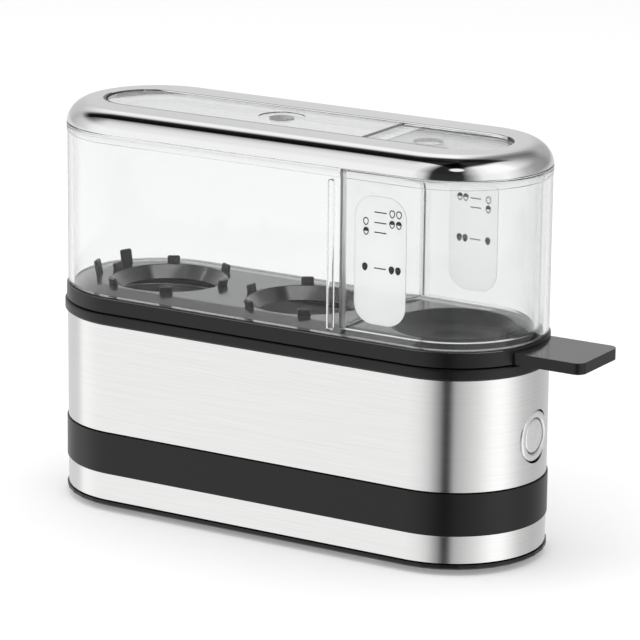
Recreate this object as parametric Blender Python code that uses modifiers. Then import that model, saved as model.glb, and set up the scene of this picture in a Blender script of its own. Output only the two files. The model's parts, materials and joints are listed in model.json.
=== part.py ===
"""Slim electric egg boiler for two eggs, with a clear hood, a lift-out tray and a measuring cup.

The long axis is X, the handle and the push button are at +X, and the boiler stands on Z = 0.
All lengths are in metres.
"""
import math

import bmesh
import bpy
from mathutils import Vector

# Plan of the body: a rectangle with two half-round ends
BODY_LENGTH = 0.1785
BODY_WIDTH = 0.0620
GAP = 0.0003
OVERRUN = 0.0010
MERGE_DISTANCE = 0.00001
ARC_STEPS = 16
ROUND_STEPS = 24
SMALL_ROUND_STEPS = 12
SMALL_ROUND_RADIUS = 0.0047

# Feet and bottom plate
FOOT_HEIGHT = 0.0020
FOOT_RADIUS = 0.0050
FOOT_STEM_RADIUS = 0.0025
FOOT_BARB = 0.0007
FOOT_BEYOND_REACH = 0.00575
FOOT_Y_SHARE = 0.645
PLATE_PROUD = 0.00055
PLATE_LIP = 0.0017
PLATE_THICKNESS = 0.0025
PLATE_CHAMFER = 0.0006
UPSTAND_HEIGHT = 0.0045
UPSTAND_WALL = 0.0014

# Steel sleeves and the band between them
SLEEVE_WALL = 0.0007
LOWER_SLEEVE_HEIGHT = 0.0094
BELT_HEIGHT = 0.0140
BELT_PROUD = 0.00045
BELT_TONGUE = 0.0030
TONGUE_WALL = 0.0014
UPPER_SLEEVE_HEIGHT = 0.0375

# Inner housing and its screws
HOUSING_WALL = 0.0014
POST_RADIUS = 0.0042
POST_HEIGHT = 0.0200
POST_X_SHARE = 0.755
BOSS_RADIUS = 0.0035
BASE_SCREW_RADIUS = 0.0015
BASE_SCREW_HEAD_RADIUS = 0.0030
BASE_SCREW_HEAD = 0.0013
BASE_SCREW_BITE = 0.0120

# Top rim, heating dish and seal
RIM_HEIGHT = 0.0036
RIM_PROUD = 0.0009
RIM_ROUND = 0.0004
RIM_TONGUE = 0.0058
SHELF_THICKNESS = 0.0018
SHELF_WIDTH = 0.0042
SHELF_DEPTH = 0.0001
RIM_POCKET_WALL = 0.0035
SEAL_HEIGHT = 0.0012
DISH_WALL = 0.0008
DISH_DEPTH = 0.0103
DISH_CORNER = 0.0030

# Heater under the dish
SPREADER_RADIUS = 0.0190
SPREADER_REACH_SHARE = 0.584
SPREADER_THICKNESS = 0.0020
ELEMENT_RADIUS = 0.0033
ELEMENT_LEG_Y = 0.0110
ELEMENT_END_X_SHARE = 0.79
ELEMENT_BEND_X_SHARE = -0.584
PIN_RADIUS = 0.0012
PIN_LENGTH = 0.0080
THERMOSTAT_RADIUS = 0.0068
CLAMP_WIDTH = 0.0120
CLAMP_THICKNESS = 0.0010
CLAMP_SCREW_RADIUS = 0.0011
CLAMP_SCREW_HEAD = 0.0016
FUSE_RADIUS = 0.0020
FUSE_LENGTH = 0.0120
FUSE_X_SHARE = -0.412

# Circuit board
BOARD_LENGTH_SHARE = 0.6524
BOARD_WIDTH = 0.0360
BOARD_THICKNESS = 0.0016
BOARD_MARGIN = 0.0040
STANDOFF_HEIGHT = 0.0092
STANDOFF_RADIUS = 0.0030
BOARD_SCREW_RADIUS = 0.0010
BOARD_SCREW_HEAD_RADIUS = 0.0023
BOARD_SCREW_HEAD = 0.0016
BOARD_SCREW_BITE_SHARE = 0.7
RELAY_SIZE = (0.0190, 0.0120, 0.0150)
RELAY_PLACE_SHARES = (-0.309, 0.236)
TERMINAL_SIZE = (0.0130, 0.0090, 0.0100)
TERMINAL_PLACE_SHARES = (-0.329, -0.167)
CAPACITOR_RADIUS = 0.0045
CAPACITOR_HEIGHT = 0.0130
CAPACITOR_PLACE_SHARES = (-0.079, -0.167)
BUZZER_RADIUS = 0.0060
BUZZER_HEIGHT = 0.0085
BUZZER_HOLE = 0.0012
BUZZER_PLACE_SHARES = (0.132, 0.222)
LEAD_RADIUS = 0.0009
LEAD_SPACING = 0.0040
LEAD_RISE = 0.0080
LEAD_LOOP = 0.0050

# Push button in the +X end
BUTTON_HEIGHT_SHARE = 0.4
BEZEL_RADIUS = 0.00865
BEZEL_SET_BACK = 0.0005
BEZEL_LIP = 0.00215
BARREL_WALL = 0.0010
BARREL_INSET = 0.00035
BUTTON_RADIUS = 0.0058
BUTTON_SET_BACK = 0.0003
BUTTON_CHAMFER = 0.0003
BUTTON_FLANGE = 0.0011
BUTTON_FLANGE_THICKNESS = 0.0010
BUTTON_TRAVEL = 0.0015
BUTTON_STEM_RADIUS = 0.0025
BUTTON_STEM_LENGTH = 0.0070
GUIDE_WALL = 0.0014
GUIDE_BORE_RADIUS = 0.0045
GUIDE_BACK = 0.0020
GUIDE_SEAT = 0.0028
GUIDE_WIRE_HOLE = 0.0015
SWITCH_SIDE = 0.0056
SWITCH_LENGTH = 0.0048
SPRING_WIRE = 0.0004
SPRING_TURNS = 2
SPRING_POINTS_PER_TURN = 14

# Cord gland in the back of the band
GLAND_X_SHARE = -0.5
GLAND_RADIUS = 0.0060
GLAND_BARREL_RADIUS = 0.0045
GLAND_BORE_RADIUS = 0.0034
GLAND_FLANGE = 0.0011
GLAND_PROUD = 0.00025
GLAND_INNER_FLANGE = 0.0016

# Egg tray
SKIRT_PROUD = 0.0003
SKIRT_HEIGHT = 0.0053
SKIRT_ROUND = 0.0004
TRAY_RIB_DROP = 0.0011
TRAY_RIB_WALL = 0.0016
TRAY_WALL = 0.0018
PLATEAU_RISE = 0.0015
PLATEAU_RADIUS = 0.0210
SEAT_X_SHARES = (-0.9116, 0.024)
SEAT_TOP_SHARE = 0.3633
SEAT_THROAT_SHARE = 0.3028
SEAT_DEPTH = 0.0043
BOWL_FLOOR_RADIUS = 0.0100
BOWL_SHOULDER_RADIUS = 0.0165
BOWL_DEPTH = 0.0050
BOWL_SHOULDER_DEPTH = 0.0036
FINGER_COUNT = 6
FINGER_WIDTH = 0.0044
FINGER_THICKNESS = 0.0016
FINGER_RISE = 0.0026
FINGER_ROOT = 0.0014
FINGER_ROUND = 0.0007
TALL_FINGER_RISE = 0.0050
TALL_FINGER_ANGLE = 20.4
TALL_FINGER_OUT = 0.0041
FINGER_LEAN = 12.0
HANDLE_REACH = 0.0215
HANDLE_WIDTH = 0.0260
HANDLE_THICKNESS = 0.0038
HANDLE_CORNER = 0.0030
HANDLE_ROOT = 0.0046
HANDLE_LIFT = 0.0001

# Clear hood and its chrome ring
HOOD_INSET = 0.00025
HOOD_WALL = 0.0018
HOOD_HEIGHT = 0.0627
LIP_BAND_HEIGHT = 0.0030
RING_HEIGHT = 0.0070
RING_SHOULDER = 0.0080
RING_WALL = 0.0012
SHOULDER_STEPS = 6
OPENING_RADIUS = 0.0141
OPENING_EXTRA_REACH = 0.00415
OPENING_GROOVE = 0.0008
OPENING_ROUND = 0.0003
TOP_PLATE_DROP = 0.0004
TOP_PLATE_THICKNESS = 0.0029
CUP_STEP = 0.0009
STEAM_HOLE_X_SHARE = -0.1545
STEAM_HOLE_RADIUS = 0.00415
STEAM_RECESS_RADIUS = 0.00785
STEAM_RECESS_DEPTH = 0.0003
RAIL_LENGTH_SHARE = 0.8
RAIL_WIDTH = 0.0022
RAIL_DEPTH = 0.0024
RAIL_LIFT = 0.0008
RAIL_ROUND = 0.0010

# Measuring cup, stored upside down in the hood
CUP_FLAT_X_SHARE = 0.503
CUP_WALL = 0.0016
CUP_SIDE_GAP = 0.00135
CUP_MOUTH_GAP = 0.0004
CUP_TOP_GAP = 0.0004
CUP_SHOULDER = 0.0065
CUP_CORNER = 0.0025
CUP_LEAST_CORNER = 0.0006
CORNER_STEPS = 3
PAD_WIDTH_SHARE = 0.663
PAD_HEIGHT_SHARE = 0.7526
PAD_THICKNESS = 0.0005
PAD_LIFT = 0.0027
PAD_END_SHARES = (0.078, -0.029)
PAD_CORNER = 0.0070
PAD_CORNER_STEPS = 6
PIERCER_X_SHARE = 0.611
PIERCER_POCKET_RADIUS = 0.0050
PIERCER_POCKET_DEPTH = 0.0058
PIERCER_POCKET_WALL = 0.0014
PIERCER_BASE = 0.0010
NEEDLE_RADIUS = 0.0006
NEEDLE_LENGTH = 0.0038
NEEDLE_TIP = 0.0012

# Worked out from the sizes above: radii of the nested walls
BODY_RADIUS = BODY_WIDTH / 2
REACH = BODY_LENGTH / 2 - BODY_RADIUS
BODY_X = -HANDLE_REACH / 2
CAP_SHARE = 0.4
FOOT_X = REACH + FOOT_BEYOND_REACH
FOOT_Y = BODY_RADIUS * FOOT_Y_SHARE
POST_X = REACH * POST_X_SHARE
GLAND_X = REACH * GLAND_X_SHARE
SPREADER_REACH = REACH * SPREADER_REACH_SHARE
ELEMENT_END_X = REACH * ELEMENT_END_X_SHARE
ELEMENT_BEND_X = REACH * ELEMENT_BEND_X_SHARE
FUSE_X = REACH * FUSE_X_SHARE
BOARD_LENGTH = 2 * REACH * BOARD_LENGTH_SHARE
SEAT_PLACES = tuple(REACH * share for share in SEAT_X_SHARES)
SEAT_PITCH = SEAT_PLACES[1] - SEAT_PLACES[0]
SEAT_TOP_RADIUS = SEAT_PITCH * SEAT_TOP_SHARE
SEAT_THROAT_RADIUS = SEAT_PITCH * SEAT_THROAT_SHARE
STEAM_HOLE_X = REACH * STEAM_HOLE_X_SHARE
CUP_FLAT_X = REACH * CUP_FLAT_X_SHARE
CUP_STRAIGHT = REACH - CUP_FLAT_X
PIERCER_X = CUP_FLAT_X + CUP_STRAIGHT * PIERCER_X_SHARE
PAD_WIDTH = CUP_STRAIGHT * PAD_WIDTH_SHARE
PAD_PLACES = tuple(REACH - CUP_STRAIGHT * share - PAD_WIDTH / 2 for share in PAD_END_SHARES)
RAIL_LENGTH = HOOD_HEIGHT * RAIL_LENGTH_SHARE
SLEEVE_INNER = BODY_RADIUS - SLEEVE_WALL
TONGUE_OUTER = SLEEVE_INNER - GAP
TONGUE_INNER = TONGUE_OUTER - TONGUE_WALL
HOUSING_OUTER = TONGUE_INNER - GAP
HOUSING_INNER = HOUSING_OUTER - HOUSING_WALL
UPSTAND_OUTER = HOUSING_INNER - GAP
UPSTAND_INNER = UPSTAND_OUTER - UPSTAND_WALL
RIM_RADIUS = BODY_RADIUS + RIM_PROUD
RIM_POCKET = RIM_RADIUS - RIM_POCKET_WALL
SHELF_INNER = TONGUE_INNER - SHELF_WIDTH
DISH_RADIUS = SHELF_INNER - GAP
DISH_FLANGE = RIM_POCKET - 2 * GAP
SKIRT_RADIUS = BODY_RADIUS + SKIRT_PROUD
HOOD_OUTER = BODY_RADIUS - HOOD_INSET
HOOD_INNER = HOOD_OUTER - HOOD_WALL
CUP_RADIUS = HOOD_INNER - CUP_SIDE_GAP

# Worked out from the sizes above: heights, from the floor up
PLATE_Z = FOOT_HEIGHT
PLATE_LIP_Z = PLATE_Z + PLATE_LIP
PLATE_FLOOR_Z = PLATE_Z + PLATE_THICKNESS
UPSTAND_Z = PLATE_FLOOR_Z + UPSTAND_HEIGHT
LOWER_SLEEVE_Z = PLATE_LIP_Z + GAP
BELT_Z = LOWER_SLEEVE_Z + LOWER_SLEEVE_HEIGHT + GAP
BELT_TOP_Z = BELT_Z + BELT_HEIGHT
UPPER_SLEEVE_Z = BELT_TOP_Z + GAP
UPPER_SLEEVE_TOP_Z = UPPER_SLEEVE_Z + UPPER_SLEEVE_HEIGHT
BUTTON_Z = UPPER_SLEEVE_Z + UPPER_SLEEVE_HEIGHT * BUTTON_HEIGHT_SHARE
RIM_Z = UPPER_SLEEVE_TOP_Z + GAP
RIM_TOP_Z = RIM_Z + RIM_HEIGHT
SHELF_TOP_Z = RIM_Z - SHELF_DEPTH
SHELF_Z = SHELF_TOP_Z - SHELF_THICKNESS
HOUSING_TOP_Z = SHELF_Z - GAP
SEAL_Z = SHELF_TOP_Z + GAP
DISH_FLANGE_Z = SEAL_Z + SEAL_HEIGHT + GAP
DISH_TOP_Z = DISH_FLANGE_Z + DISH_WALL
DISH_FLOOR_Z = DISH_TOP_Z - DISH_DEPTH
DISH_BOTTOM_Z = DISH_FLOOR_Z - DISH_WALL
SPREADER_TOP_Z = DISH_BOTTOM_Z - GAP
SPREADER_Z = SPREADER_TOP_Z - SPREADER_THICKNESS
ELEMENT_Z = SPREADER_Z - GAP - ELEMENT_RADIUS
CLAMP_TOP_Z = ELEMENT_Z - ELEMENT_RADIUS - GAP
CLAMP_Z = CLAMP_TOP_Z - CLAMP_THICKNESS
BOARD_Z = PLATE_FLOOR_Z + STANDOFF_HEIGHT + GAP
BOARD_TOP_Z = BOARD_Z + BOARD_THICKNESS
PARTS_ON_BOARD_Z = BOARD_TOP_Z + GAP
TRAY_Z = RIM_TOP_Z + GAP
SKIRT_TOP_Z = TRAY_Z + SKIRT_HEIGHT
PLATEAU_Z = SKIRT_TOP_Z + PLATEAU_RISE
HOOD_Z = SKIRT_TOP_Z + GAP
RING_TOP_Z = HOOD_Z + HOOD_HEIGHT
RING_Z = RING_TOP_Z - RING_HEIGHT
LIP_TOP_Z = RING_Z - GAP
LIP_Z = LIP_TOP_Z - LIP_BAND_HEIGHT
TOP_PLATE_Z = RING_TOP_Z - TOP_PLATE_DROP
HOOD_CEILING_Z = TOP_PLATE_Z - TOP_PLATE_THICKNESS
CUP_MOUTH_Z = PLATEAU_Z + CUP_MOUTH_GAP
CUP_TOP_Z = HOOD_CEILING_Z - CUP_TOP_GAP
PAD_HEIGHT = (CUP_TOP_Z - CUP_MOUTH_Z) * PAD_HEIGHT_SHARE

# Worked out from the sizes above: stations along the button's axis, from the body's centre
BODY_END_X = REACH + BODY_RADIUS
BEZEL_FRONT_X = BODY_END_X - BEZEL_SET_BACK
BEZEL_BACK_X = REACH + HOUSING_OUTER + GAP
BEZEL_LIP_X = BEZEL_FRONT_X - BEZEL_LIP
BEZEL_BORE = BUTTON_RADIUS + GAP
BARREL_RADIUS = BEZEL_RADIUS - BARREL_INSET
BARREL_BORE = BARREL_RADIUS - BARREL_WALL
BUTTON_FRONT_X = BEZEL_FRONT_X - BUTTON_SET_BACK
BUTTON_FLANGE_X = BEZEL_LIP_X - GAP
BUTTON_BACK_X = BUTTON_FLANGE_X - BUTTON_FLANGE_THICKNESS
STEM_END_X = BUTTON_BACK_X - BUTTON_STEM_LENGTH
GUIDE_RADIUS = BARREL_RADIUS + GAP + GUIDE_WALL
GUIDE_FRONT_X = REACH + math.sqrt(HOUSING_INNER ** 2 - GUIDE_RADIUS ** 2) - GAP
GUIDE_SEAT_X = GUIDE_FRONT_X - GUIDE_SEAT
BARREL_END_X = GUIDE_SEAT_X + GAP
SWITCH_FRONT_X = STEM_END_X - BUTTON_TRAVEL - GAP
SWITCH_BACK_X = SWITCH_FRONT_X - SWITCH_LENGTH
GUIDE_FLOOR_X = SWITCH_BACK_X - GAP
GUIDE_BACK_X = GUIDE_FLOOR_X - GUIDE_BACK
SPRING_START_X = GUIDE_SEAT_X + GAP + SPRING_WIRE
SPRING_END_X = BUTTON_BACK_X - BUTTON_TRAVEL - GAP - SPRING_WIRE
SPRING_PITCH = (SPRING_END_X - SPRING_START_X) / SPRING_TURNS

PARTS = bpy.data.collections.new("egg_boiler")
CUTTERS = bpy.data.collections.new("egg_boiler_cutters")


def clear_scene():
    """Remove what the scene holds and link the two collections."""
    for item in list(bpy.data.objects):
        bpy.data.objects.remove(item, do_unlink=True)
    bpy.context.scene.collection.children.link(PARTS)
    bpy.context.scene.collection.children.link(CUTTERS)


def finish(name, color, roughness, metallic=0.0, alpha=1.0):
    """A plain Principled material for one kind of surface."""
    material = bpy.data.materials.new(name)
    material.use_nodes = True
    shader = material.node_tree.nodes["Principled BSDF"]
    shader.inputs["Base Color"].default_value = (*color, 1.0)
    shader.inputs["Roughness"].default_value = roughness
    shader.inputs["Metallic"].default_value = metallic
    shader.inputs["Alpha"].default_value = alpha
    return material


def joint_frame(name, location, parent=None):
    """An empty that carries the pieces of one moving body."""
    empty = bpy.data.objects.new(name, None)
    empty.location = location
    empty.parent = parent
    PARTS.objects.link(empty)
    return empty


def round_steps(radius):
    """How many sides a round shape gets: small ones need fewer."""
    return SMALL_ROUND_STEPS if radius < SMALL_ROUND_RADIUS else ROUND_STEPS


def place(name, mesh, material, parent, location=(0, 0, 0), rotation=(0, 0, 0)):
    """Make the named piece from its mesh, shade it and hang it on its frame."""
    piece = bpy.data.objects.new(name, mesh)
    piece.location = location
    piece.rotation_euler = rotation
    piece.parent = parent
    if material is not None:
        mesh.materials.append(material)
    mesh.shade_smooth()
    mesh.set_sharp_from_angle(angle=math.radians(30))
    PARTS.objects.link(piece)
    return piece


def as_cutter(piece):
    """Turn a piece into a guide that only shapes others."""
    PARTS.objects.unlink(piece)
    CUTTERS.objects.link(piece)
    piece.hide_render = True
    piece.display_type = "WIRE"
    return piece


def boolean(piece, guides, operation):
    """Join the guides to a piece, or cut them from it, one after another."""
    for guide in guides:
        modifier = piece.modifiers.new(operation.lower(), "BOOLEAN")
        modifier.operation = operation
        modifier.object = as_cutter(guide)


def stadium(radius, z, reach=REACH):
    """Points round a rectangle with half-round ends, seen from above, at one height."""
    points = []
    for centre, start in ((reach, -math.pi / 2), (-reach, math.pi / 2)):
        for step in range(ARC_STEPS + 1):
            angle = start + math.pi * step / ARC_STEPS
            points.append((centre + radius * math.cos(angle), radius * math.sin(angle), z))
    return points


def half_stadium(inset, z):
    """Points round the cup's plan: half round at +X and flat, with round corners, at -X."""
    radius = CUP_RADIUS - inset
    corner = max(CUP_CORNER - inset, CUP_LEAST_CORNER)
    low_x = CUP_FLAT_X + inset
    arcs = [
        (REACH, 0, radius, -math.pi / 2, math.pi, ARC_STEPS),
        (low_x + corner, radius - corner, corner, math.pi / 2, math.pi / 2, CORNER_STEPS),
        (low_x + corner, corner - radius, corner, math.pi, math.pi / 2, CORNER_STEPS),
    ]
    points = []
    for centre_x, centre_y, size, start, sweep, steps in arcs:
        for step in range(steps + 1):
            angle = start + sweep * step / steps
            points.append((centre_x + size * math.cos(angle), centre_y + size * math.sin(angle), z))
    return points


def loft(sections, ring=False):
    """Skin a run of equal sections; a ring closes on itself, and otherwise both ends are capped."""
    build = bmesh.new()
    loops = [[build.verts.new(point) for point in section] for section in sections]
    count = len(loops[0])
    pairs = list(zip(loops, loops[1:]))
    if ring:
        pairs.append((loops[-1], loops[0]))
    for first, second in pairs:
        for index in range(count):
            following = (index + 1) % count
            build.faces.new((first[index], first[following], second[following], second[index]))
    if not ring:
        build.faces.new(loops[0])
        build.faces.new(loops[-1])
    bmesh.ops.recalc_face_normals(build, faces=build.faces)
    mesh = bpy.data.meshes.new("loft")
    build.to_mesh(mesh)
    build.free()
    return mesh


def stadium_loft(profile, ring=False):
    """Loft of stadiums from a profile of (radius, z) or (radius, z, extra reach) points."""
    return loft([stadium(point[0], point[1], REACH + sum(point[2:])) for point in profile], ring)


def turned(name, profile, material, parent, location=(0, 0, 0), rotation=(0, 0, 0), ring=False):
    """A profile of (radius, height) points turned about its own Z axis."""
    mesh = bpy.data.meshes.new(name)
    edges = [(index, index + 1) for index in range(len(profile) - 1)]
    if ring:
        edges.append((len(profile) - 1, 0))
    mesh.from_pydata([(radius, 0, height) for radius, height in profile], edges, [])
    piece = place(name, mesh, material, parent, location, rotation)
    screw = piece.modifiers.new("turn", "SCREW")
    screw.steps = round_steps(max(radius for radius, height in profile))
    screw.render_steps = screw.steps
    screw.use_merge_vertices = True
    screw.merge_threshold = MERGE_DISTANCE
    screw.use_smooth_shade = True
    return piece


def cylinder(name, radius, low_z, high_z, material, parent, location=(0, 0, 0), rotation=(0, 0, 0)):
    """A plain round bar between two heights on its own Z axis."""
    build = bmesh.new()
    bmesh.ops.create_cone(build, cap_ends=True, segments=round_steps(radius), radius1=radius,
                          radius2=radius, depth=high_z - low_z)
    bmesh.ops.translate(build, verts=build.verts, vec=(0, 0, (low_z + high_z) / 2))
    mesh = bpy.data.meshes.new(name)
    build.to_mesh(mesh)
    build.free()
    return place(name, mesh, material, parent, location, rotation)


def box(name, size, material, parent, location=(0, 0, 0), rotation=(0, 0, 0), edge=0.0, upright=False):
    """A block centred on its location; its edges, or only its upright ones, are rounded."""
    build = bmesh.new()
    bmesh.ops.create_cube(build, size=1)
    bmesh.ops.scale(build, verts=build.verts, vec=size)
    if edge > 0:
        edges = list(build.edges)
        if upright:
            edges = [one for one in edges if abs(one.verts[0].co.z - one.verts[1].co.z) > size[2] / 2]
        bmesh.ops.bevel(build, geom=edges, offset=edge, segments=3 if upright else 1, affect="EDGES",
                        profile=0.5)
    mesh = bpy.data.meshes.new(name)
    build.to_mesh(mesh)
    build.free()
    return place(name, mesh, material, parent, location, rotation)


def mesh_from_curve(name, curve, material, parent, location=(0, 0, 0), rotation=(0, 0, 0)):
    """Make a closed mesh piece from a curve's tube or filled outline."""
    guide = bpy.data.objects.new(name + "_curve", curve)
    PARTS.objects.link(guide)
    evaluated = guide.evaluated_get(bpy.context.evaluated_depsgraph_get())
    mesh = bpy.data.meshes.new_from_object(evaluated)
    build = bmesh.new()
    build.from_mesh(mesh)
    bmesh.ops.remove_doubles(build, verts=build.verts, dist=MERGE_DISTANCE)
    build.to_mesh(mesh)
    build.free()
    bpy.data.objects.remove(guide, do_unlink=True)
    mesh.name = name
    return place(name, mesh, material, parent, location, rotation)


def tube(name, points, radius, material, parent, resolution=2):
    """A round wire or tube along a list of points."""
    curve = bpy.data.curves.new(name, "CURVE")
    curve.dimensions = "3D"
    curve.bevel_depth = radius
    curve.bevel_resolution = resolution
    curve.use_fill_caps = True
    spline = curve.splines.new("POLY")
    spline.points.add(len(points) - 1)
    for point, target in zip(spline.points, points):
        point.co = (*target, 1.0)
    return mesh_from_curve(name, curve, material, parent)


def smooth_route(points, steps=4):
    """A smooth curve through a few chosen points."""
    guides = [Vector(point) for point in points]
    guides = [2 * guides[0] - guides[1]] + guides + [2 * guides[-1] - guides[-2]]
    route = []
    for before, start, end, after in zip(guides, guides[1:], guides[2:], guides[3:]):
        for step in range(steps):
            t = step / steps
            route.append(0.5 * (2 * start + (end - before) * t
                                + (2 * before - 5 * start + 4 * end - after) * t ** 2
                                + (3 * start - before - 3 * end + after) * t ** 3))
    route.append(guides[-2])
    return route


def corners(x, y):
    """The four places at plus and minus x and y."""
    return [(side_x * x, side_y * y) for side_x in (-1, 1) for side_y in (-1, 1)]


def shoulder(centre_radius, centre_z, size, low_z):
    """Points of the quarter round between a wall and a flat top, from the wall upwards."""
    start = math.asin((low_z - centre_z) / size)
    points = []
    for step in range(SHOULDER_STEPS + 1):
        angle = start + (math.pi / 2 - start) * step / SHOULDER_STEPS
        points.append((centre_radius + size * math.cos(angle), centre_z + size * math.sin(angle)))
    return points


# Places that several pieces share
BOSS_Y = UPSTAND_OUTER - BOSS_RADIUS
STANDOFF_X = BOARD_LENGTH / 2 - BOARD_MARGIN
STANDOFF_Y = BOARD_WIDTH / 2 - BOARD_MARGIN
BOARD_SCREW_PLACES = ((STANDOFF_X, STANDOFF_Y), (-STANDOFF_X, -STANDOFF_Y))
RELAY_PLACE, TERMINAL_PLACE, CAPACITOR_PLACE, BUZZER_PLACE = [
    (BOARD_LENGTH * shares[0], BOARD_WIDTH * shares[1])
    for shares in (RELAY_PLACE_SHARES, TERMINAL_PLACE_SHARES, CAPACITOR_PLACE_SHARES, BUZZER_PLACE_SHARES)
]
SCREW_HOLE_RADIUS = BASE_SCREW_RADIUS + GAP
BOARD_HOLE_RADIUS = BOARD_SCREW_RADIUS + GAP
CLAMP_HOLE_RADIUS = CLAMP_SCREW_RADIUS + GAP
CLAMP_HOLE_Y = ELEMENT_LEG_Y + ELEMENT_RADIUS + 2 * CLAMP_HOLE_RADIUS
HEAD_POCKET_RADIUS = BASE_SCREW_HEAD_RADIUS + GAP
HEAD_POCKET_Z = PLATE_Z + BASE_SCREW_HEAD + 2 * GAP
GLAND_Z = BELT_Z + BELT_HEIGHT / 2
ALONG_X = (0, math.pi / 2, 0)
ALONG_Y = (-math.pi / 2, 0, 0)


def bottom_plate(black, base):
    cap = BODY_RADIUS * CAP_SHARE
    plate_radius = BODY_RADIUS + PLATE_PROUD
    profile = [
        (cap, PLATE_FLOOR_Z),
        (UPSTAND_INNER, PLATE_FLOOR_Z),
        (UPSTAND_INNER, UPSTAND_Z),
        (UPSTAND_OUTER, UPSTAND_Z),
        (UPSTAND_OUTER, PLATE_LIP_Z),
        (plate_radius, PLATE_LIP_Z),
        (plate_radius, PLATE_Z + PLATE_CHAMFER),
        (plate_radius - PLATE_CHAMFER, PLATE_Z),
        (cap, PLATE_Z),
    ]
    plate = place("bottom_plate", stadium_loft(profile), black, base)
    root_z = PLATE_Z + PLATE_THICKNESS / 2
    added = []
    for x, y in corners(POST_X, BOSS_Y):
        added.append(cylinder("boss", BOSS_RADIUS, root_z, UPSTAND_Z, None, base, (x, y, 0)))
    for x, y in corners(STANDOFF_X, STANDOFF_Y):
        top = PLATE_FLOOR_Z + STANDOFF_HEIGHT
        added.append(cylinder("standoff", STANDOFF_RADIUS, root_z, top, None, base, (x, y, 0)))
    boolean(plate, added, "UNION")
    holes = []
    for x, y in corners(POST_X, BOSS_Y):
        holes.append(cylinder("screw_hole", SCREW_HOLE_RADIUS, PLATE_Z, UPSTAND_Z + OVERRUN, None, base,
                              (x, y, 0)))
        holes.append(cylinder("head_pocket", HEAD_POCKET_RADIUS, PLATE_Z - OVERRUN, HEAD_POCKET_Z, None,
                              base, (x, y, 0)))
    for x, y in corners(FOOT_X, FOOT_Y):
        holes.append(cylinder("foot_hole", FOOT_STEM_RADIUS + GAP, PLATE_Z - OVERRUN,
                              PLATE_FLOOR_Z + OVERRUN, None, base, (x, y, 0)))
    for x, y in BOARD_SCREW_PLACES:
        holes.append(cylinder("pilot_hole", BOARD_HOLE_RADIUS, PLATE_FLOOR_Z,
                              PLATE_FLOOR_Z + STANDOFF_HEIGHT + OVERRUN, None, base, (x, y, 0)))
    boolean(plate, holes, "DIFFERENCE")


def feet(rubber, base):
    pad_top = FOOT_HEIGHT - GAP
    barb_z = PLATE_FLOOR_Z + GAP
    barb_radius = FOOT_STEM_RADIUS + FOOT_BARB
    profile = [
        (0, barb_z + FOOT_BARB),
        (FOOT_STEM_RADIUS, barb_z + FOOT_BARB),
        (barb_radius, barb_z),
        (FOOT_STEM_RADIUS, barb_z),
        (FOOT_STEM_RADIUS, pad_top),
        (FOOT_RADIUS, pad_top),
        (FOOT_RADIUS, PLATE_CHAMFER),
        (FOOT_RADIUS - PLATE_CHAMFER, 0),
        (0, 0),
    ]
    for number, (x, y) in enumerate(corners(FOOT_X, FOOT_Y), 1):
        turned(f"foot_{number}", profile, rubber, base, (x, y, 0))


def pan_head_screw(name, radius, head_radius, head, length, material, parent, location, down=False):
    """A screw whose head's underside is at its location and whose shank points up, or down."""
    profile = [
        (0, length),
        (radius, length),
        (radius, 0),
        (head_radius, 0),
        (head_radius, -head),
        (0, -head),
    ]
    rotation = (math.pi, 0, 0) if down else (0, 0, 0)
    turned(name, profile, material, parent, location, rotation)


def base_screws(steel, base):
    head_z = PLATE_Z + GAP + BASE_SCREW_HEAD
    length = UPSTAND_Z - head_z + BASE_SCREW_BITE
    for number, (x, y) in enumerate(corners(POST_X, BOSS_Y), 1):
        pan_head_screw(f"base_screw_{number}", BASE_SCREW_RADIUS, BASE_SCREW_HEAD_RADIUS,
                       BASE_SCREW_HEAD, length, steel, base, (x, y, head_z))


def sleeves(steel, base):
    for name, low_z, height in (("lower_sleeve", LOWER_SLEEVE_Z, LOWER_SLEEVE_HEIGHT),
                                ("upper_sleeve", UPPER_SLEEVE_Z, UPPER_SLEEVE_HEIGHT)):
        profile = [
            (SLEEVE_INNER, low_z),
            (BODY_RADIUS, low_z),
            (BODY_RADIUS, low_z + height),
            (SLEEVE_INNER, low_z + height),
        ]
        sleeve = place(name, stadium_loft(profile, ring=True), steel, base)
        if name == "upper_sleeve":
            hole = cylinder("bezel_hole", BEZEL_RADIUS + GAP, BODY_END_X - BODY_RADIUS / 2,
                            BODY_END_X + OVERRUN, None, base, (0, 0, BUTTON_Z), ALONG_X)
            boolean(sleeve, [hole], "DIFFERENCE")


def belt_band(black, base):
    belt_radius = BODY_RADIUS + BELT_PROUD
    profile = [
        (TONGUE_INNER, BELT_Z - BELT_TONGUE),
        (TONGUE_OUTER, BELT_Z - BELT_TONGUE),
        (TONGUE_OUTER, BELT_Z),
        (belt_radius, BELT_Z),
        (belt_radius, BELT_TOP_Z),
        (TONGUE_OUTER, BELT_TOP_Z),
        (TONGUE_OUTER, BELT_TOP_Z + BELT_TONGUE),
        (TONGUE_INNER, BELT_TOP_Z + BELT_TONGUE),
    ]
    belt = place("belt_band", stadium_loft(profile, ring=True), black, base)
    seat_y = belt_radius + GLAND_PROUD - GLAND_FLANGE - GAP
    place_of_gland = (GLAND_X, 0, GLAND_Z)
    holes = [
        cylinder("gland_seat", GLAND_RADIUS + GAP, seat_y, belt_radius + OVERRUN, None, base,
                 place_of_gland, ALONG_Y),
        cylinder("gland_hole", GLAND_BARREL_RADIUS + GAP, BODY_RADIUS / 2, belt_radius + OVERRUN, None,
                 base, place_of_gland, ALONG_Y),
    ]
    boolean(belt, holes, "DIFFERENCE")


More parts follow.
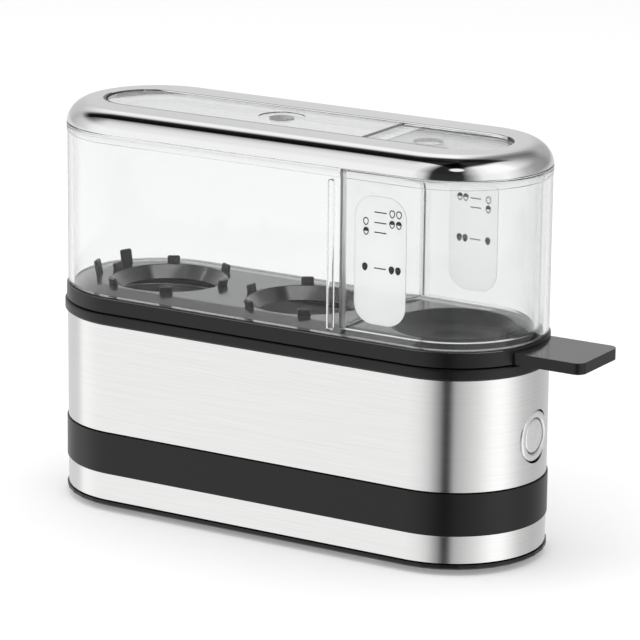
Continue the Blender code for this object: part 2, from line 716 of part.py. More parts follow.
def cord_gland(rubber, base):
    front_y = BODY_RADIUS + BELT_PROUD + GLAND_PROUD
    flange_y = front_y - GLAND_FLANGE
    inner_y = HOUSING_INNER - GAP
    profile = [
        (GLAND_BORE_RADIUS, front_y),
        (GLAND_RADIUS, front_y),
        (GLAND_RADIUS, flange_y),
        (GLAND_BARREL_RADIUS, flange_y),
        (GLAND_BARREL_RADIUS, inner_y),
        (GLAND_RADIUS, inner_y),
        (GLAND_RADIUS, inner_y - GLAND_INNER_FLANGE),
        (GLAND_BORE_RADIUS, inner_y - GLAND_INNER_FLANGE),
    ]
    turned("cord_gland", profile, rubber, base, (GLAND_X, 0, GLAND_Z), ALONG_Y, ring=True)


def inner_housing(black, base):
    low_z = PLATE_LIP_Z + GAP
    profile = [
        (HOUSING_INNER, low_z),
        (HOUSING_OUTER, low_z),
        (HOUSING_OUTER, HOUSING_TOP_Z),
        (HOUSING_INNER, HOUSING_TOP_Z),
    ]
    housing = place("inner_housing", stadium_loft(profile, ring=True), black, base)
    post_z = UPSTAND_Z + GAP
    posts = []
    holes = []
    for x, y in corners(POST_X, BOSS_Y):
        posts.append(cylinder("post", POST_RADIUS, post_z, post_z + POST_HEIGHT, None, base, (x, y, 0)))
        holes.append(cylinder("post_hole", SCREW_HOLE_RADIUS, post_z - OVERRUN,
                              post_z + BASE_SCREW_BITE + OVERRUN, None, base, (x, y, 0)))
    holes.append(cylinder("barrel_hole", BARREL_RADIUS + GAP, REACH + HOUSING_INNER / 2,
                          REACH + HOUSING_OUTER + OVERRUN, None, base,
                          (0, 0, BUTTON_Z), ALONG_X))
    holes.append(cylinder("gland_hole", GLAND_BARREL_RADIUS + GAP, HOUSING_INNER / 2,
                          HOUSING_OUTER + OVERRUN, None, base, (GLAND_X, 0, GLAND_Z), ALONG_Y))
    boolean(housing, posts, "UNION")
    boolean(housing, holes, "DIFFERENCE")


def top_rim(black, base):
    profile = [
        (TONGUE_OUTER, RIM_Z),
        (RIM_RADIUS - RIM_ROUND, RIM_Z),
        (RIM_RADIUS, RIM_Z + RIM_ROUND),
        (RIM_RADIUS, RIM_TOP_Z - RIM_ROUND),
        (RIM_RADIUS - RIM_ROUND, RIM_TOP_Z),
        (RIM_POCKET, RIM_TOP_Z),
        (RIM_POCKET, SHELF_TOP_Z),
        (SHELF_INNER, SHELF_TOP_Z),
        (SHELF_INNER, SHELF_Z),
        (TONGUE_INNER, SHELF_Z),
        (TONGUE_INNER, RIM_Z - RIM_TONGUE),
        (TONGUE_OUTER, RIM_Z - RIM_TONGUE),
    ]
    place("top_rim", stadium_loft(profile, ring=True), black, base)


def dish_seal(rubber, base):
    profile = [
        (DISH_RADIUS + GAP, SEAL_Z),
        (DISH_FLANGE, SEAL_Z),
        (DISH_FLANGE, SEAL_Z + SEAL_HEIGHT),
        (DISH_RADIUS + GAP, SEAL_Z + SEAL_HEIGHT),
    ]
    place("dish_seal", stadium_loft(profile, ring=True), rubber, base)


def heating_dish(steel, base):
    cap = DISH_RADIUS * CAP_SHARE
    inner = DISH_RADIUS - DISH_WALL
    profile = [
        (cap, DISH_BOTTOM_Z),
        (DISH_RADIUS - DISH_CORNER, DISH_BOTTOM_Z),
        (DISH_RADIUS, DISH_BOTTOM_Z + DISH_CORNER),
        (DISH_RADIUS, DISH_FLANGE_Z),
        (DISH_FLANGE, DISH_FLANGE_Z),
        (DISH_FLANGE, DISH_TOP_Z),
        (inner, DISH_TOP_Z),
        (inner, DISH_FLOOR_Z + DISH_CORNER),
        (inner - DISH_CORNER, DISH_FLOOR_Z),
        (cap, DISH_FLOOR_Z),
    ]
    place("heating_dish", stadium_loft(profile), steel, base)


def heater(aluminium, steel, ceramic, base):
    sections = [stadium(SPREADER_RADIUS, z, SPREADER_REACH) for z in (SPREADER_Z, SPREADER_TOP_Z)]
    spreader = place("heat_spreader", loft(sections), aluminium, base)
    clamp_length = 2 * (CLAMP_HOLE_Y + 2 * CLAMP_HOLE_RADIUS)
    clamp = box("element_clamp", (CLAMP_WIDTH, clamp_length, CLAMP_THICKNESS), steel, base,
                (0, 0, CLAMP_Z + CLAMP_THICKNESS / 2))
    for target in (spreader, clamp):
        holes = [cylinder("clamp_hole", CLAMP_HOLE_RADIUS, CLAMP_Z - OVERRUN, SPREADER_TOP_Z + OVERRUN,
                          None, base, (0, side * CLAMP_HOLE_Y, 0)) for side in (-1, 1)]
        boolean(target, holes, "DIFFERENCE")
    head_z = CLAMP_Z - GAP
    for number, side in enumerate((-1, 1), 1):
        pan_head_screw(f"clamp_screw_{number}", CLAMP_SCREW_RADIUS, 2 * CLAMP_SCREW_RADIUS,
                       CLAMP_SCREW_HEAD, SPREADER_TOP_Z - GAP - head_z, steel, base,
                       (0, side * CLAMP_HOLE_Y, head_z))
    bend = [(ELEMENT_END_X, -ELEMENT_LEG_Y, ELEMENT_Z)]
    for step in range(ARC_STEPS // 2 + 1):
        angle = math.pi * step / (ARC_STEPS // 2)
        bend.append((ELEMENT_BEND_X - ELEMENT_LEG_Y * math.sin(angle),
                     -ELEMENT_LEG_Y * math.cos(angle), ELEMENT_Z))
    bend.append((ELEMENT_END_X, ELEMENT_LEG_Y, ELEMENT_Z))
    tube("heating_element", bend, ELEMENT_RADIUS, steel, base)
    for number, side in enumerate((-1, 1), 1):
        cylinder(f"element_pin_{number}", PIN_RADIUS, ELEMENT_END_X + GAP,
                 ELEMENT_END_X + GAP + PIN_LENGTH, steel, base, (0, side * ELEMENT_LEG_Y, ELEMENT_Z),
                 ALONG_X)
    cylinder("thermostat", THERMOSTAT_RADIUS, CLAMP_TOP_Z + GAP, SPREADER_Z - GAP, ceramic, base)
    cylinder("thermal_fuse", FUSE_RADIUS, FUSE_X - FUSE_LENGTH / 2, FUSE_X + FUSE_LENGTH / 2, ceramic,
             base, (0, 0, SPREADER_Z - GAP - FUSE_RADIUS), ALONG_X)


def element_leads(wire, base):
    """Two insulated leads from the terminal block to the heating element's pins."""
    start_z = PARTS_ON_BOARD_Z + TERMINAL_SIZE[2] + GAP
    run_z = start_z + LEAD_RISE
    pin_end_x = ELEMENT_END_X + PIN_LENGTH + 2 * GAP
    for number, side in enumerate((-1, 1), 1):
        start_x = TERMINAL_PLACE[0] + side * LEAD_SPACING
        start_y = TERMINAL_PLACE[1]
        pin_y = side * ELEMENT_LEG_Y
        points = [
            (start_x, start_y, start_z),
            (start_x, start_y, start_z + LEAD_RISE / 2),
            (start_x + LEAD_LOOP, start_y + side * LEAD_SPACING / 2, run_z),
            (0, start_y + side * LEAD_SPACING, run_z),
            (ELEMENT_END_X / 2, side * LEAD_SPACING, run_z),
            (ELEMENT_END_X, pin_y, run_z),
            (pin_end_x + LEAD_LOOP, pin_y, run_z + LEAD_LOOP),
            (pin_end_x + LEAD_LOOP, pin_y, ELEMENT_Z - PIN_RADIUS),
            (pin_end_x, pin_y, ELEMENT_Z),
        ]
        tube(f"element_lead_{number}", smooth_route(points), LEAD_RADIUS, wire, base, resolution=1)


def circuit_board(materials, base):
    board = box("circuit_board", (BOARD_LENGTH, BOARD_WIDTH, BOARD_THICKNESS), materials["board"], base,
                (0, 0, BOARD_Z + BOARD_THICKNESS / 2))
    holes = [cylinder("board_hole", BOARD_HOLE_RADIUS, BOARD_Z - OVERRUN, BOARD_TOP_Z + OVERRUN, None,
                      base, (x, y, 0)) for x, y in BOARD_SCREW_PLACES]
    boolean(board, holes, "DIFFERENCE")
    for number, (x, y) in enumerate(BOARD_SCREW_PLACES, 1):
        length = BOARD_THICKNESS + GAP + STANDOFF_HEIGHT * BOARD_SCREW_BITE_SHARE
        pan_head_screw(f"board_screw_{number}", BOARD_SCREW_RADIUS, BOARD_SCREW_HEAD_RADIUS,
                       BOARD_SCREW_HEAD, length, materials["steel"], base, (x, y, PARTS_ON_BOARD_Z), True)
    for name, size, (x, y) in (("relay", RELAY_SIZE, RELAY_PLACE),
                               ("terminal_block", TERMINAL_SIZE, TERMINAL_PLACE)):
        box(name, size, materials["black"], base, (x, y, PARTS_ON_BOARD_Z + size[2] / 2))
    cylinder("capacitor", CAPACITOR_RADIUS, PARTS_ON_BOARD_Z, PARTS_ON_BOARD_Z + CAPACITOR_HEIGHT,
             materials["black"], base, (*CAPACITOR_PLACE, 0))
    buzzer = cylinder("buzzer", BUZZER_RADIUS, PARTS_ON_BOARD_Z, PARTS_ON_BOARD_Z + BUZZER_HEIGHT,
                      materials["black"], base, (*BUZZER_PLACE, 0))
    sound_hole = cylinder("sound_hole", BUZZER_HOLE, PARTS_ON_BOARD_Z + BUZZER_HEIGHT / 2,
                          PARTS_ON_BOARD_Z + BUZZER_HEIGHT + OVERRUN, None, base, (*BUZZER_PLACE, 0))
    boolean(buzzer, [sound_hole], "DIFFERENCE")


def button_bezel(chrome, base):
    profile = [
        (BEZEL_BORE, BEZEL_FRONT_X),
        (BEZEL_RADIUS - BUTTON_CHAMFER, BEZEL_FRONT_X),
        (BEZEL_RADIUS, BEZEL_FRONT_X - BUTTON_CHAMFER),
        (BEZEL_RADIUS, BEZEL_BACK_X),
        (BARREL_RADIUS, BEZEL_BACK_X),
        (BARREL_RADIUS, BARREL_END_X),
        (BARREL_BORE, BARREL_END_X),
        (BARREL_BORE, BEZEL_LIP_X),
        (BEZEL_BORE, BEZEL_LIP_X),
    ]
    turned("button_bezel", profile, chrome, base, (0, 0, BUTTON_Z), ALONG_X, ring=True)


def push_button(metal, frame):
    profile = [
        (0, BUTTON_FRONT_X),
        (BUTTON_RADIUS - BUTTON_CHAMFER, BUTTON_FRONT_X),
        (BUTTON_RADIUS, BUTTON_FRONT_X - BUTTON_CHAMFER),
        (BUTTON_RADIUS, BUTTON_FLANGE_X),
        (BUTTON_RADIUS + BUTTON_FLANGE, BUTTON_FLANGE_X),
        (BUTTON_RADIUS + BUTTON_FLANGE, BUTTON_BACK_X),
        (BUTTON_STEM_RADIUS, BUTTON_BACK_X),
        (BUTTON_STEM_RADIUS, STEM_END_X),
        (0, STEM_END_X),
    ]
    turned("push_button", profile, metal, frame, (0, 0, 0), ALONG_X)


def button_guide(black, base):
    profile = [
        (BARREL_RADIUS + GAP, GUIDE_FRONT_X),
        (GUIDE_RADIUS, GUIDE_FRONT_X),
        (GUIDE_RADIUS, GUIDE_BACK_X),
        (GUIDE_WIRE_HOLE, GUIDE_BACK_X),
        (GUIDE_WIRE_HOLE, GUIDE_FLOOR_X),
        (GUIDE_BORE_RADIUS, GUIDE_FLOOR_X),
        (GUIDE_BORE_RADIUS, GUIDE_SEAT_X),
        (BARREL_RADIUS + GAP, GUIDE_SEAT_X),
    ]
    turned("button_guide", profile, black, base, (0, 0, BUTTON_Z), ALONG_X, ring=True)
    switch_x = (SWITCH_FRONT_X + SWITCH_BACK_X) / 2
    box("micro_switch", (SWITCH_LENGTH, SWITCH_SIDE, SWITCH_SIDE), black, base,
        (switch_x, 0, BUTTON_Z))


def button_spring(steel, base):
    radius = (GUIDE_BORE_RADIUS + BARREL_BORE) / 2
    points = []
    for step in range(SPRING_TURNS * SPRING_POINTS_PER_TURN + 1):
        turn = step / SPRING_POINTS_PER_TURN
        angle = 2 * math.pi * turn
        points.append((SPRING_START_X + SPRING_PITCH * turn, radius * math.cos(angle),
                       BUTTON_Z + radius * math.sin(angle)))
    tube("button_spring", points, SPRING_WIRE, steel, base, resolution=1)


def fingers(frame):
    """Small upright tabs round each seat that keep the egg in the middle."""
    found = []
    for number, seat_x in enumerate(SEAT_PLACES):
        ring = SEAT_TOP_RADIUS + FINGER_THICKNESS
        angles = [(360 * step / FINGER_COUNT, FINGER_RISE, ring) for step in range(FINGER_COUNT)]
        if number == 0:
            angles += [(180 + side * TALL_FINGER_ANGLE, TALL_FINGER_RISE, ring + TALL_FINGER_OUT)
                       for side in (-1, 1)]
        for degrees, rise, radius in angles:
            angle = math.radians(degrees)
            height = rise + FINGER_ROOT
            middle_z = PLATEAU_Z + (rise - FINGER_ROOT) / 2
            lean = math.radians(FINGER_LEAN)
            found.append(box("finger", (FINGER_THICKNESS, FINGER_WIDTH, height), None, frame,
                             (seat_x + radius * math.cos(angle), radius * math.sin(angle), middle_z),
                             (0, lean, angle), edge=FINGER_ROUND))
    return found


def egg_tray(black, frame):
    rib_outer = RIM_POCKET - GAP
    rib_inner = rib_outer - TRAY_RIB_WALL
    flank_radius = HOOD_INNER - GAP
    cap = PLATEAU_RADIUS * CAP_SHARE
    profile = [
        (cap, PLATEAU_Z),
        (PLATEAU_RADIUS, PLATEAU_Z),
        (flank_radius, SKIRT_TOP_Z + GAP),
        (flank_radius, SKIRT_TOP_Z),
        (SKIRT_RADIUS - SKIRT_ROUND, SKIRT_TOP_Z),
        (SKIRT_RADIUS, SKIRT_TOP_Z - SKIRT_ROUND),
        (SKIRT_RADIUS, TRAY_Z),
        (rib_outer, TRAY_Z),
        (rib_outer, TRAY_Z - TRAY_RIB_DROP),
        (rib_inner, TRAY_Z - TRAY_RIB_DROP),
        (rib_inner, SKIRT_TOP_Z - TRAY_WALL),
        (PLATEAU_RADIUS, PLATEAU_Z - TRAY_WALL),
        (cap, PLATEAU_Z - TRAY_WALL),
    ]
    tray = place("egg_tray", stadium_loft(profile), black, frame)
    seat_floor = PLATEAU_Z - SEAT_DEPTH
    inside_z = PLATEAU_Z - TRAY_WALL / 2
    added = []
    for seat_x in SEAT_PLACES:
        funnel = [
            (0, inside_z),
            (SEAT_TOP_RADIUS + TRAY_WALL, inside_z),
            (SEAT_TOP_RADIUS + TRAY_WALL, PLATEAU_Z - TRAY_WALL),
            (SEAT_THROAT_RADIUS + TRAY_WALL, seat_floor),
            (0, seat_floor),
        ]
        added.append(turned("funnel", funnel, None, frame, (seat_x, 0, 0)))
    bowl = [
        (0, inside_z),
        (SEAT_TOP_RADIUS + TRAY_WALL, inside_z),
        (SEAT_TOP_RADIUS + TRAY_WALL, PLATEAU_Z - TRAY_WALL),
        (BOWL_SHOULDER_RADIUS + TRAY_WALL, PLATEAU_Z - BOWL_SHOULDER_DEPTH - TRAY_WALL / 2),
        (BOWL_FLOOR_RADIUS, PLATEAU_Z - BOWL_DEPTH - TRAY_WALL),
        (0, PLATEAU_Z - BOWL_DEPTH - TRAY_WALL),
    ]
    added.append(turned("bowl", bowl, None, frame, (REACH, 0, 0)))
    handle_low_x = REACH + SKIRT_RADIUS - HANDLE_ROOT
    handle_high_x = REACH + RIM_RADIUS + HANDLE_REACH
    added.append(box("handle", (handle_high_x - handle_low_x, HANDLE_WIDTH, HANDLE_THICKNESS), None, frame,
                     ((handle_low_x + handle_high_x) / 2, 0, TRAY_Z + HANDLE_THICKNESS / 2 + HANDLE_LIFT),
                     edge=HANDLE_CORNER, upright=True))
    boolean(tray, added, "UNION")
    holes = []
    for seat_x in SEAT_PLACES:
        throat = [
            (0, PLATEAU_Z + OVERRUN),
            (SEAT_TOP_RADIUS, PLATEAU_Z + OVERRUN),
            (SEAT_TOP_RADIUS, PLATEAU_Z),
            (SEAT_THROAT_RADIUS, seat_floor),
            (SEAT_THROAT_RADIUS, seat_floor - OVERRUN),
            (0, seat_floor - OVERRUN),
        ]
        holes.append(turned("throat", throat, None, frame, (seat_x, 0, 0)))
    hollow = [
        (0, PLATEAU_Z + OVERRUN),
        (SEAT_TOP_RADIUS, PLATEAU_Z + OVERRUN),
        (SEAT_TOP_RADIUS, PLATEAU_Z),
        (BOWL_SHOULDER_RADIUS, PLATEAU_Z - BOWL_SHOULDER_DEPTH),
        (BOWL_FLOOR_RADIUS, PLATEAU_Z - BOWL_DEPTH),
        (0, PLATEAU_Z - BOWL_DEPTH),
    ]
    holes.append(turned("hollow", hollow, None, frame, (REACH, 0, 0)))
    boolean(tray, holes, "DIFFERENCE")
    boolean(tray, fingers(frame), "UNION")


def hood(clear, frame):
    centre_radius = BODY_RADIUS - RING_SHOULDER
    centre_z = RING_TOP_Z - RING_SHOULDER
    outer_size = RING_SHOULDER - RING_WALL - GAP
    outer = shoulder(centre_radius, centre_z, outer_size, LIP_TOP_Z)
    inner_size = outer_size - HOOD_WALL
    inner = shoulder(centre_radius, centre_z, inner_size, centre_z)
    plate_radius = OPENING_RADIUS - OPENING_GROOVE
    cap = OPENING_RADIUS * CAP_SHARE
    profile = [(cap, TOP_PLATE_Z), (plate_radius, TOP_PLATE_Z, OPENING_EXTRA_REACH)]
    profile.append((plate_radius, outer[-1][1], OPENING_EXTRA_REACH))
    profile += reversed(outer)
    profile += [
        (BODY_RADIUS, LIP_TOP_Z),
        (BODY_RADIUS, LIP_Z + HOOD_INSET),
        (HOOD_OUTER, LIP_Z),
        (HOOD_OUTER, HOOD_Z),
        (HOOD_INNER, HOOD_Z),
        (HOOD_INNER, LIP_Z),
    ]
    profile += inner
    profile.append((cap, inner[-1][1]))
    shell = place("hood", stadium_loft(profile), clear, frame)
    rail_z = HOOD_Z + RAIL_LIFT + RAIL_LENGTH / 2
    rail_x = CUP_FLAT_X - GAP - RAIL_WIDTH / 2
    rail_y = HOOD_INNER + HOOD_WALL / 2 - RAIL_DEPTH / 2 - HOOD_WALL / 4
    rails = [box("rail", (RAIL_WIDTH, RAIL_DEPTH, RAIL_LENGTH), None, frame,
                 (rail_x, side * rail_y, rail_z), edge=RAIL_ROUND / 2) for side in (-1, 1)]
    boolean(shell, rails, "UNION")
    recess_length = REACH + OPENING_RADIUS + OPENING_EXTRA_REACH - CUP_FLAT_X
    holes = [
        cylinder("steam_hole", STEAM_HOLE_RADIUS, HOOD_CEILING_Z - RING_SHOULDER, TOP_PLATE_Z + OVERRUN,
                 None, frame, (STEAM_HOLE_X, 0, 0)),
        cylinder("steam_recess", STEAM_RECESS_RADIUS, TOP_PLATE_Z - STEAM_RECESS_DEPTH,
                 TOP_PLATE_Z + OVERRUN, None, frame, (STEAM_HOLE_X, 0, 0)),
        box("cup_step", (recess_length, 2 * OPENING_RADIUS, CUP_STEP + OVERRUN), None, frame,
            (CUP_FLAT_X + recess_length / 2, 0, TOP_PLATE_Z - CUP_STEP + (CUP_STEP + OVERRUN) / 2)),
    ]
    boolean(shell, holes, "DIFFERENCE")


def hood_ring(chrome, frame):
    centre_radius = BODY_RADIUS - RING_SHOULDER
    centre_z = RING_TOP_Z - RING_SHOULDER
    outer = shoulder(centre_radius, centre_z, RING_SHOULDER, RING_Z)
    inner = shoulder(centre_radius, centre_z, RING_SHOULDER - RING_WALL, RING_Z)
    underside_z = RING_TOP_Z - RING_WALL
    profile = list(outer)
    profile += [
        (OPENING_RADIUS + OPENING_ROUND, RING_TOP_Z, OPENING_EXTRA_REACH),
        (OPENING_RADIUS, RING_TOP_Z - OPENING_ROUND, OPENING_EXTRA_REACH),
        (OPENING_RADIUS, underside_z, OPENING_EXTRA_REACH),
    ]
    profile += reversed(inner)
    place("hood_ring", stadium_loft(profile, ring=True), chrome, frame)


def measuring_cup(clear, steel, frame):
    outer = shoulder(0, CUP_TOP_Z - CUP_SHOULDER, CUP_SHOULDER, CUP_TOP_Z - CUP_SHOULDER)
    inner_size = CUP_SHOULDER - CUP_WALL
    inner = shoulder(0, CUP_TOP_Z - CUP_SHOULDER, inner_size, CUP_TOP_Z - CUP_SHOULDER)
    profile = [(CUP_SHOULDER - radius, z) for radius, z in reversed(outer)]
    profile += [(0, CUP_MOUTH_Z), (CUP_WALL, CUP_MOUTH_Z)]
    profile += [(CUP_SHOULDER - radius, z) for radius, z in inner]
    cup = place("measuring_cup", loft([half_stadium(inset, z) for inset, z in profile]), clear, frame)
    pocket_z = CUP_TOP_Z - PIERCER_POCKET_DEPTH
    pocket_place = (PIERCER_X, 0, 0)
    boss = cylinder("pocket_boss", PIERCER_POCKET_RADIUS + PIERCER_POCKET_WALL,
                    pocket_z - PIERCER_POCKET_WALL, CUP_TOP_Z - CUP_WALL / 2, None, frame, pocket_place)
    boolean(cup, [boss], "UNION")
    pocket = cylinder("pocket", PIERCER_POCKET_RADIUS, pocket_z, CUP_TOP_Z + OVERRUN, None, frame,
                      pocket_place)
    boolean(cup, [pocket], "DIFFERENCE")
    base_z = pocket_z + GAP
    needle_z = base_z + PIERCER_BASE
    profile = [
        (0, needle_z + NEEDLE_LENGTH),
        (NEEDLE_RADIUS, needle_z + NEEDLE_LENGTH - NEEDLE_TIP),
        (NEEDLE_RADIUS, needle_z),
        (PIERCER_POCKET_RADIUS - GAP, needle_z),
        (PIERCER_POCKET_RADIUS - GAP, base_z),
        (0, base_z),
    ]
    turned("piercer_needle", profile, steel, frame, pocket_place)


def scale_pads(frosted, frame):
    """Thin tongue-shaped pads on the cup's two long walls, which carry the water marks."""
    half_width = PAD_WIDTH / 2 - PAD_CORNER
    half_height = PAD_HEIGHT / 2 - PAD_CORNER
    outline = []
    for quarter, (side_x, side_z) in enumerate(((1, 1), (-1, 1), (-1, -1), (1, -1))):
        for step in range(PAD_CORNER_STEPS + 1):
            angle = math.pi / 2 * (quarter + step / PAD_CORNER_STEPS)
            outline.append((side_x * half_width + PAD_CORNER * math.cos(angle),
                            side_z * half_height + PAD_CORNER * math.sin(angle), 0))
    middle_z = CUP_MOUTH_Z + PAD_LIFT + PAD_HEIGHT / 2
    middle_y = CUP_RADIUS + GAP + PAD_THICKNESS / 2
    for name, side, pad_x in (("scale_pad_front", -1, PAD_PLACES[0]), ("scale_pad_back", 1, PAD_PLACES[1])):
        curve = bpy.data.curves.new(name, "CURVE")
        curve.dimensions = "2D"
        curve.fill_mode = "BOTH"
        curve.extrude = PAD_THICKNESS / 2
        spline = curve.splines.new("POLY")
        spline.points.add(len(outline) - 1)
        for point, target in zip(spline.points, outline):
            point.co = (*target, 1.0)
        spline.use_cyclic_u = True
        mesh_from_curve(name, curve, frosted, frame, (pad_x, side * middle_y, middle_z),
                        (math.pi / 2, 0, 0))


def build():
    clear_scene()
    black = finish("black_plastic", (0.025, 0.025, 0.026), 0.42)
    steel = finish("brushed_steel", (0.72, 0.72, 0.71), 0.28, metallic=1.0)
    chrome = finish("chrome", (0.86, 0.86, 0.87), 0.06, metallic=1.0)
    clear = finish("clear_plastic", (0.95, 0.96, 0.96), 0.05, alpha=0.25)
    frosted = finish("frosted_plastic", (0.88, 0.89, 0.89), 0.55, alpha=0.6)
    rubber = finish("rubber", (0.03, 0.03, 0.03), 0.8)
    bright = finish("bright_steel", (0.62, 0.62, 0.62), 0.3, metallic=1.0)
    aluminium = finish("aluminium", (0.75, 0.75, 0.76), 0.4, metallic=1.0)
    ceramic = finish("ceramic", (0.85, 0.83, 0.78), 0.5)
    board = finish("circuit_board_green", (0.05, 0.22, 0.10), 0.5)
    wire = finish("wire_insulation", (0.75, 0.74, 0.70), 0.55)

    base = joint_frame("base_frame", (BODY_X, 0, 0))
    tray_frame = joint_frame("tray_frame", (0, 0, 0), base)
    hood_frame = joint_frame("hood_frame", (0, 0, 0), tray_frame)
    cup_frame = joint_frame("cup_frame", (0, 0, 0), hood_frame)
    button_frame = joint_frame("button_frame", (0, 0, BUTTON_Z), base)

    bottom_plate(black, base)
    feet(rubber, base)
    base_screws(bright, base)
    sleeves(steel, base)
    belt_band(black, base)
    cord_gland(rubber, base)
    inner_housing(black, base)
    top_rim(black, base)
    dish_seal(rubber, base)
    heating_dish(bright, base)
    heater(aluminium, bright, ceramic, base)
    element_leads(wire, base)
    circuit_board({"board": board, "steel": bright, "black": black}, base)
    button_bezel(chrome, base)
    button_guide(black, base)
    button_spring(bright, base)
    push_button(chrome, button_frame)
    egg_tray(black, tray_frame)
    hood(clear, hood_frame)
    hood_ring(chrome, hood_frame)
    measuring_cup(clear, bright, cup_frame)
    scale_pads(frosted, cup_frame)


build()
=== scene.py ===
"""Slim electric egg boiler: finishes, finer shapes for what is seen, lights and camera.

Lengths are in metres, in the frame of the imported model.
"""
import math

import bmesh
import bpy
from mathutils import Matrix, Vector
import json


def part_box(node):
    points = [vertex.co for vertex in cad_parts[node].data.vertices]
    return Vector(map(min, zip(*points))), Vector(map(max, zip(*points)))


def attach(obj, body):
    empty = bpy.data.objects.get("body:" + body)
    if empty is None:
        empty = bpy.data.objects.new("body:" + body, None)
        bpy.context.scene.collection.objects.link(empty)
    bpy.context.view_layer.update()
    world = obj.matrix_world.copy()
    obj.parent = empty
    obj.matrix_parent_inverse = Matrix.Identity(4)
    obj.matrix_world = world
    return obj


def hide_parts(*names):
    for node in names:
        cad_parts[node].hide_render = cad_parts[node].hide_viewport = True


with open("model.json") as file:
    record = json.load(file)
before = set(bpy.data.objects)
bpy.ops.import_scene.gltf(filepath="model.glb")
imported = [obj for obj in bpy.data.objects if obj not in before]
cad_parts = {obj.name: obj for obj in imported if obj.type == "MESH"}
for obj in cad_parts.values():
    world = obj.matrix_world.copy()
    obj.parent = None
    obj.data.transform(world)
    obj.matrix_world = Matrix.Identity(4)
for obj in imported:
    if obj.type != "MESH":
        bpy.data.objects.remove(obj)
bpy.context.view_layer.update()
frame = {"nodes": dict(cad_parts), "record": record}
NODES = frame["nodes"]

# The body's plan is a rectangle with two half-round ends, and its middle is at BODY_X
BODY_X = -0.01075
REACH = 0.05825
BODY_RADIUS = 0.0310
GAP = 0.0003
ARC_STEPS = 64


# Mesh helpers

def stadium(radius, z, extra=0.0, steps=ARC_STEPS):
    """Points round a rectangle with half-round ends, seen from above, at one height."""
    points = []
    reach = REACH + extra
    for centre, start in ((reach, -math.pi / 2), (-reach, math.pi / 2)):
        for step in range(steps + 1):
            angle = start + math.pi * step / steps
            points.append((BODY_X + centre + radius * math.cos(angle), radius * math.sin(angle), z))
    return points


def filleted(points, closed, steps=4):
    """Round the corners of a profile; each point is (radius, z, fillet) or (radius, z, fillet, extra)."""
    corners = [Vector((point[0], point[1], point[3] if len(point) > 3 else 0.0)) for point in points]
    count = len(corners)
    result = []
    for index, corner in enumerate(corners):
        size = points[index][2]
        if size <= 0 or (not closed and index in (0, count - 1)):
            result.append(tuple(corner))
            continue
        before = (corners[index - 1] - corner).normalized()
        after = (corners[(index + 1) % count] - corner).normalized()
        half = before.angle(after) / 2
        run = size / math.tan(half)
        start = corner + before * run
        end = corner + after * run
        for step in range(steps + 1):
            t = step / steps
            weight = 2 * t * (1 - t) * math.sin(half)
            whole = (1 - t) ** 2 + weight + t ** 2
            result.append(tuple((start * (1 - t) ** 2 + corner * weight + end * t ** 2) / whole))
    return result


def loft(sections, ring=False):
    """Skin a run of equal sections; a ring closes on itself, and otherwise both ends are capped."""
    build = bmesh.new()
    loops = [[build.verts.new(point) for point in section] for section in sections]
    count = len(loops[0])
    pairs = list(zip(loops, loops[1:]))
    if ring:
        pairs.append((loops[-1], loops[0]))
    for first, second in pairs:
        for index in range(count):
            following = (index + 1) % count
            build.faces.new((first[index], first[following], second[following], second[index]))
    if not ring:
        build.faces.new(loops[0])
        build.faces.new(loops[-1])
    bmesh.ops.recalc_face_normals(build, faces=build.faces)
    mesh = bpy.data.meshes.new("loft")
    build.to_mesh(mesh)
    build.free()
    return mesh


def stadium_loft(profile, ring=False, steps=ARC_STEPS):
    """Loft of stadiums from a profile of (radius, z, extra reach) points."""
    return loft([stadium(point[0], point[1], point[2], steps) for point in profile], ring)


def turned(profile, steps=64, ring=False):
    """Turn a profile of (radius, height) points about Z; radius 0 closes an end."""
    build = bmesh.new()
    rows = []
    for point in profile:
        radius, height = point[0], point[1]
        if radius <= 0:
            rows.append([build.verts.new((0, 0, height))])
            continue
        rows.append([build.verts.new((radius * math.cos(2 * math.pi * step / steps),
                                      radius * math.sin(2 * math.pi * step / steps), height))
                     for step in range(steps)])
    pairs = list(zip(rows, rows[1:]))
    if ring:
        pairs.append((rows[-1], rows[0]))
    for first, second in pairs:
        for index in range(steps):
            following = (index + 1) % steps
            if len(first) == 1 and len(second) > 1:
                build.faces.new((first[0], second[following], second[index]))
            elif len(second) == 1 and len(first) > 1:
                build.faces.new((first[index], first[following], second[0]))
            elif len(first) > 1:
                build.faces.new((first[index], first[following], second[following], second[index]))
    bmesh.ops.recalc_face_normals(build, faces=build.faces)
    mesh = bpy.data.meshes.new("turned")
    build.to_mesh(mesh)
    build.free()
    return mesh


def block(size, edge=0.0, segments=3, upright=False):
    """A block with rounded edges, centred on the origin."""
    build = bmesh.new()
    bmesh.ops.create_cube(build, size=1)
    bmesh.ops.scale(build, verts=build.verts, vec=size)
    if edge > 0:
        edges = list(build.edges)
        if upright:
            edges = [one for one in edges if abs(one.verts[0].co.z - one.verts[1].co.z) > size[2] / 2]
        bmesh.ops.bevel(build, geom=edges, offset=edge, segments=segments, affect="EDGES", profile=0.5)
    mesh = bpy.data.meshes.new("block")
    build.to_mesh(mesh)
    build.free()
    return mesh


def piece_from(name, mesh, material, location=(0, 0, 0), rotation=(0, 0, 0), sharp=35):
    """Make an object from a mesh, with smooth shading between sharp edges."""
    mesh.name = name
    piece = bpy.data.objects.new(name, mesh)
    bpy.context.scene.collection.objects.link(piece)
    piece.location = location
    piece.rotation_euler = rotation
    if material is not None:
        mesh.materials.clear()
        mesh.materials.append(material)
    mesh.shade_smooth()
    mesh.set_sharp_from_angle(angle=math.radians(sharp))
    return piece


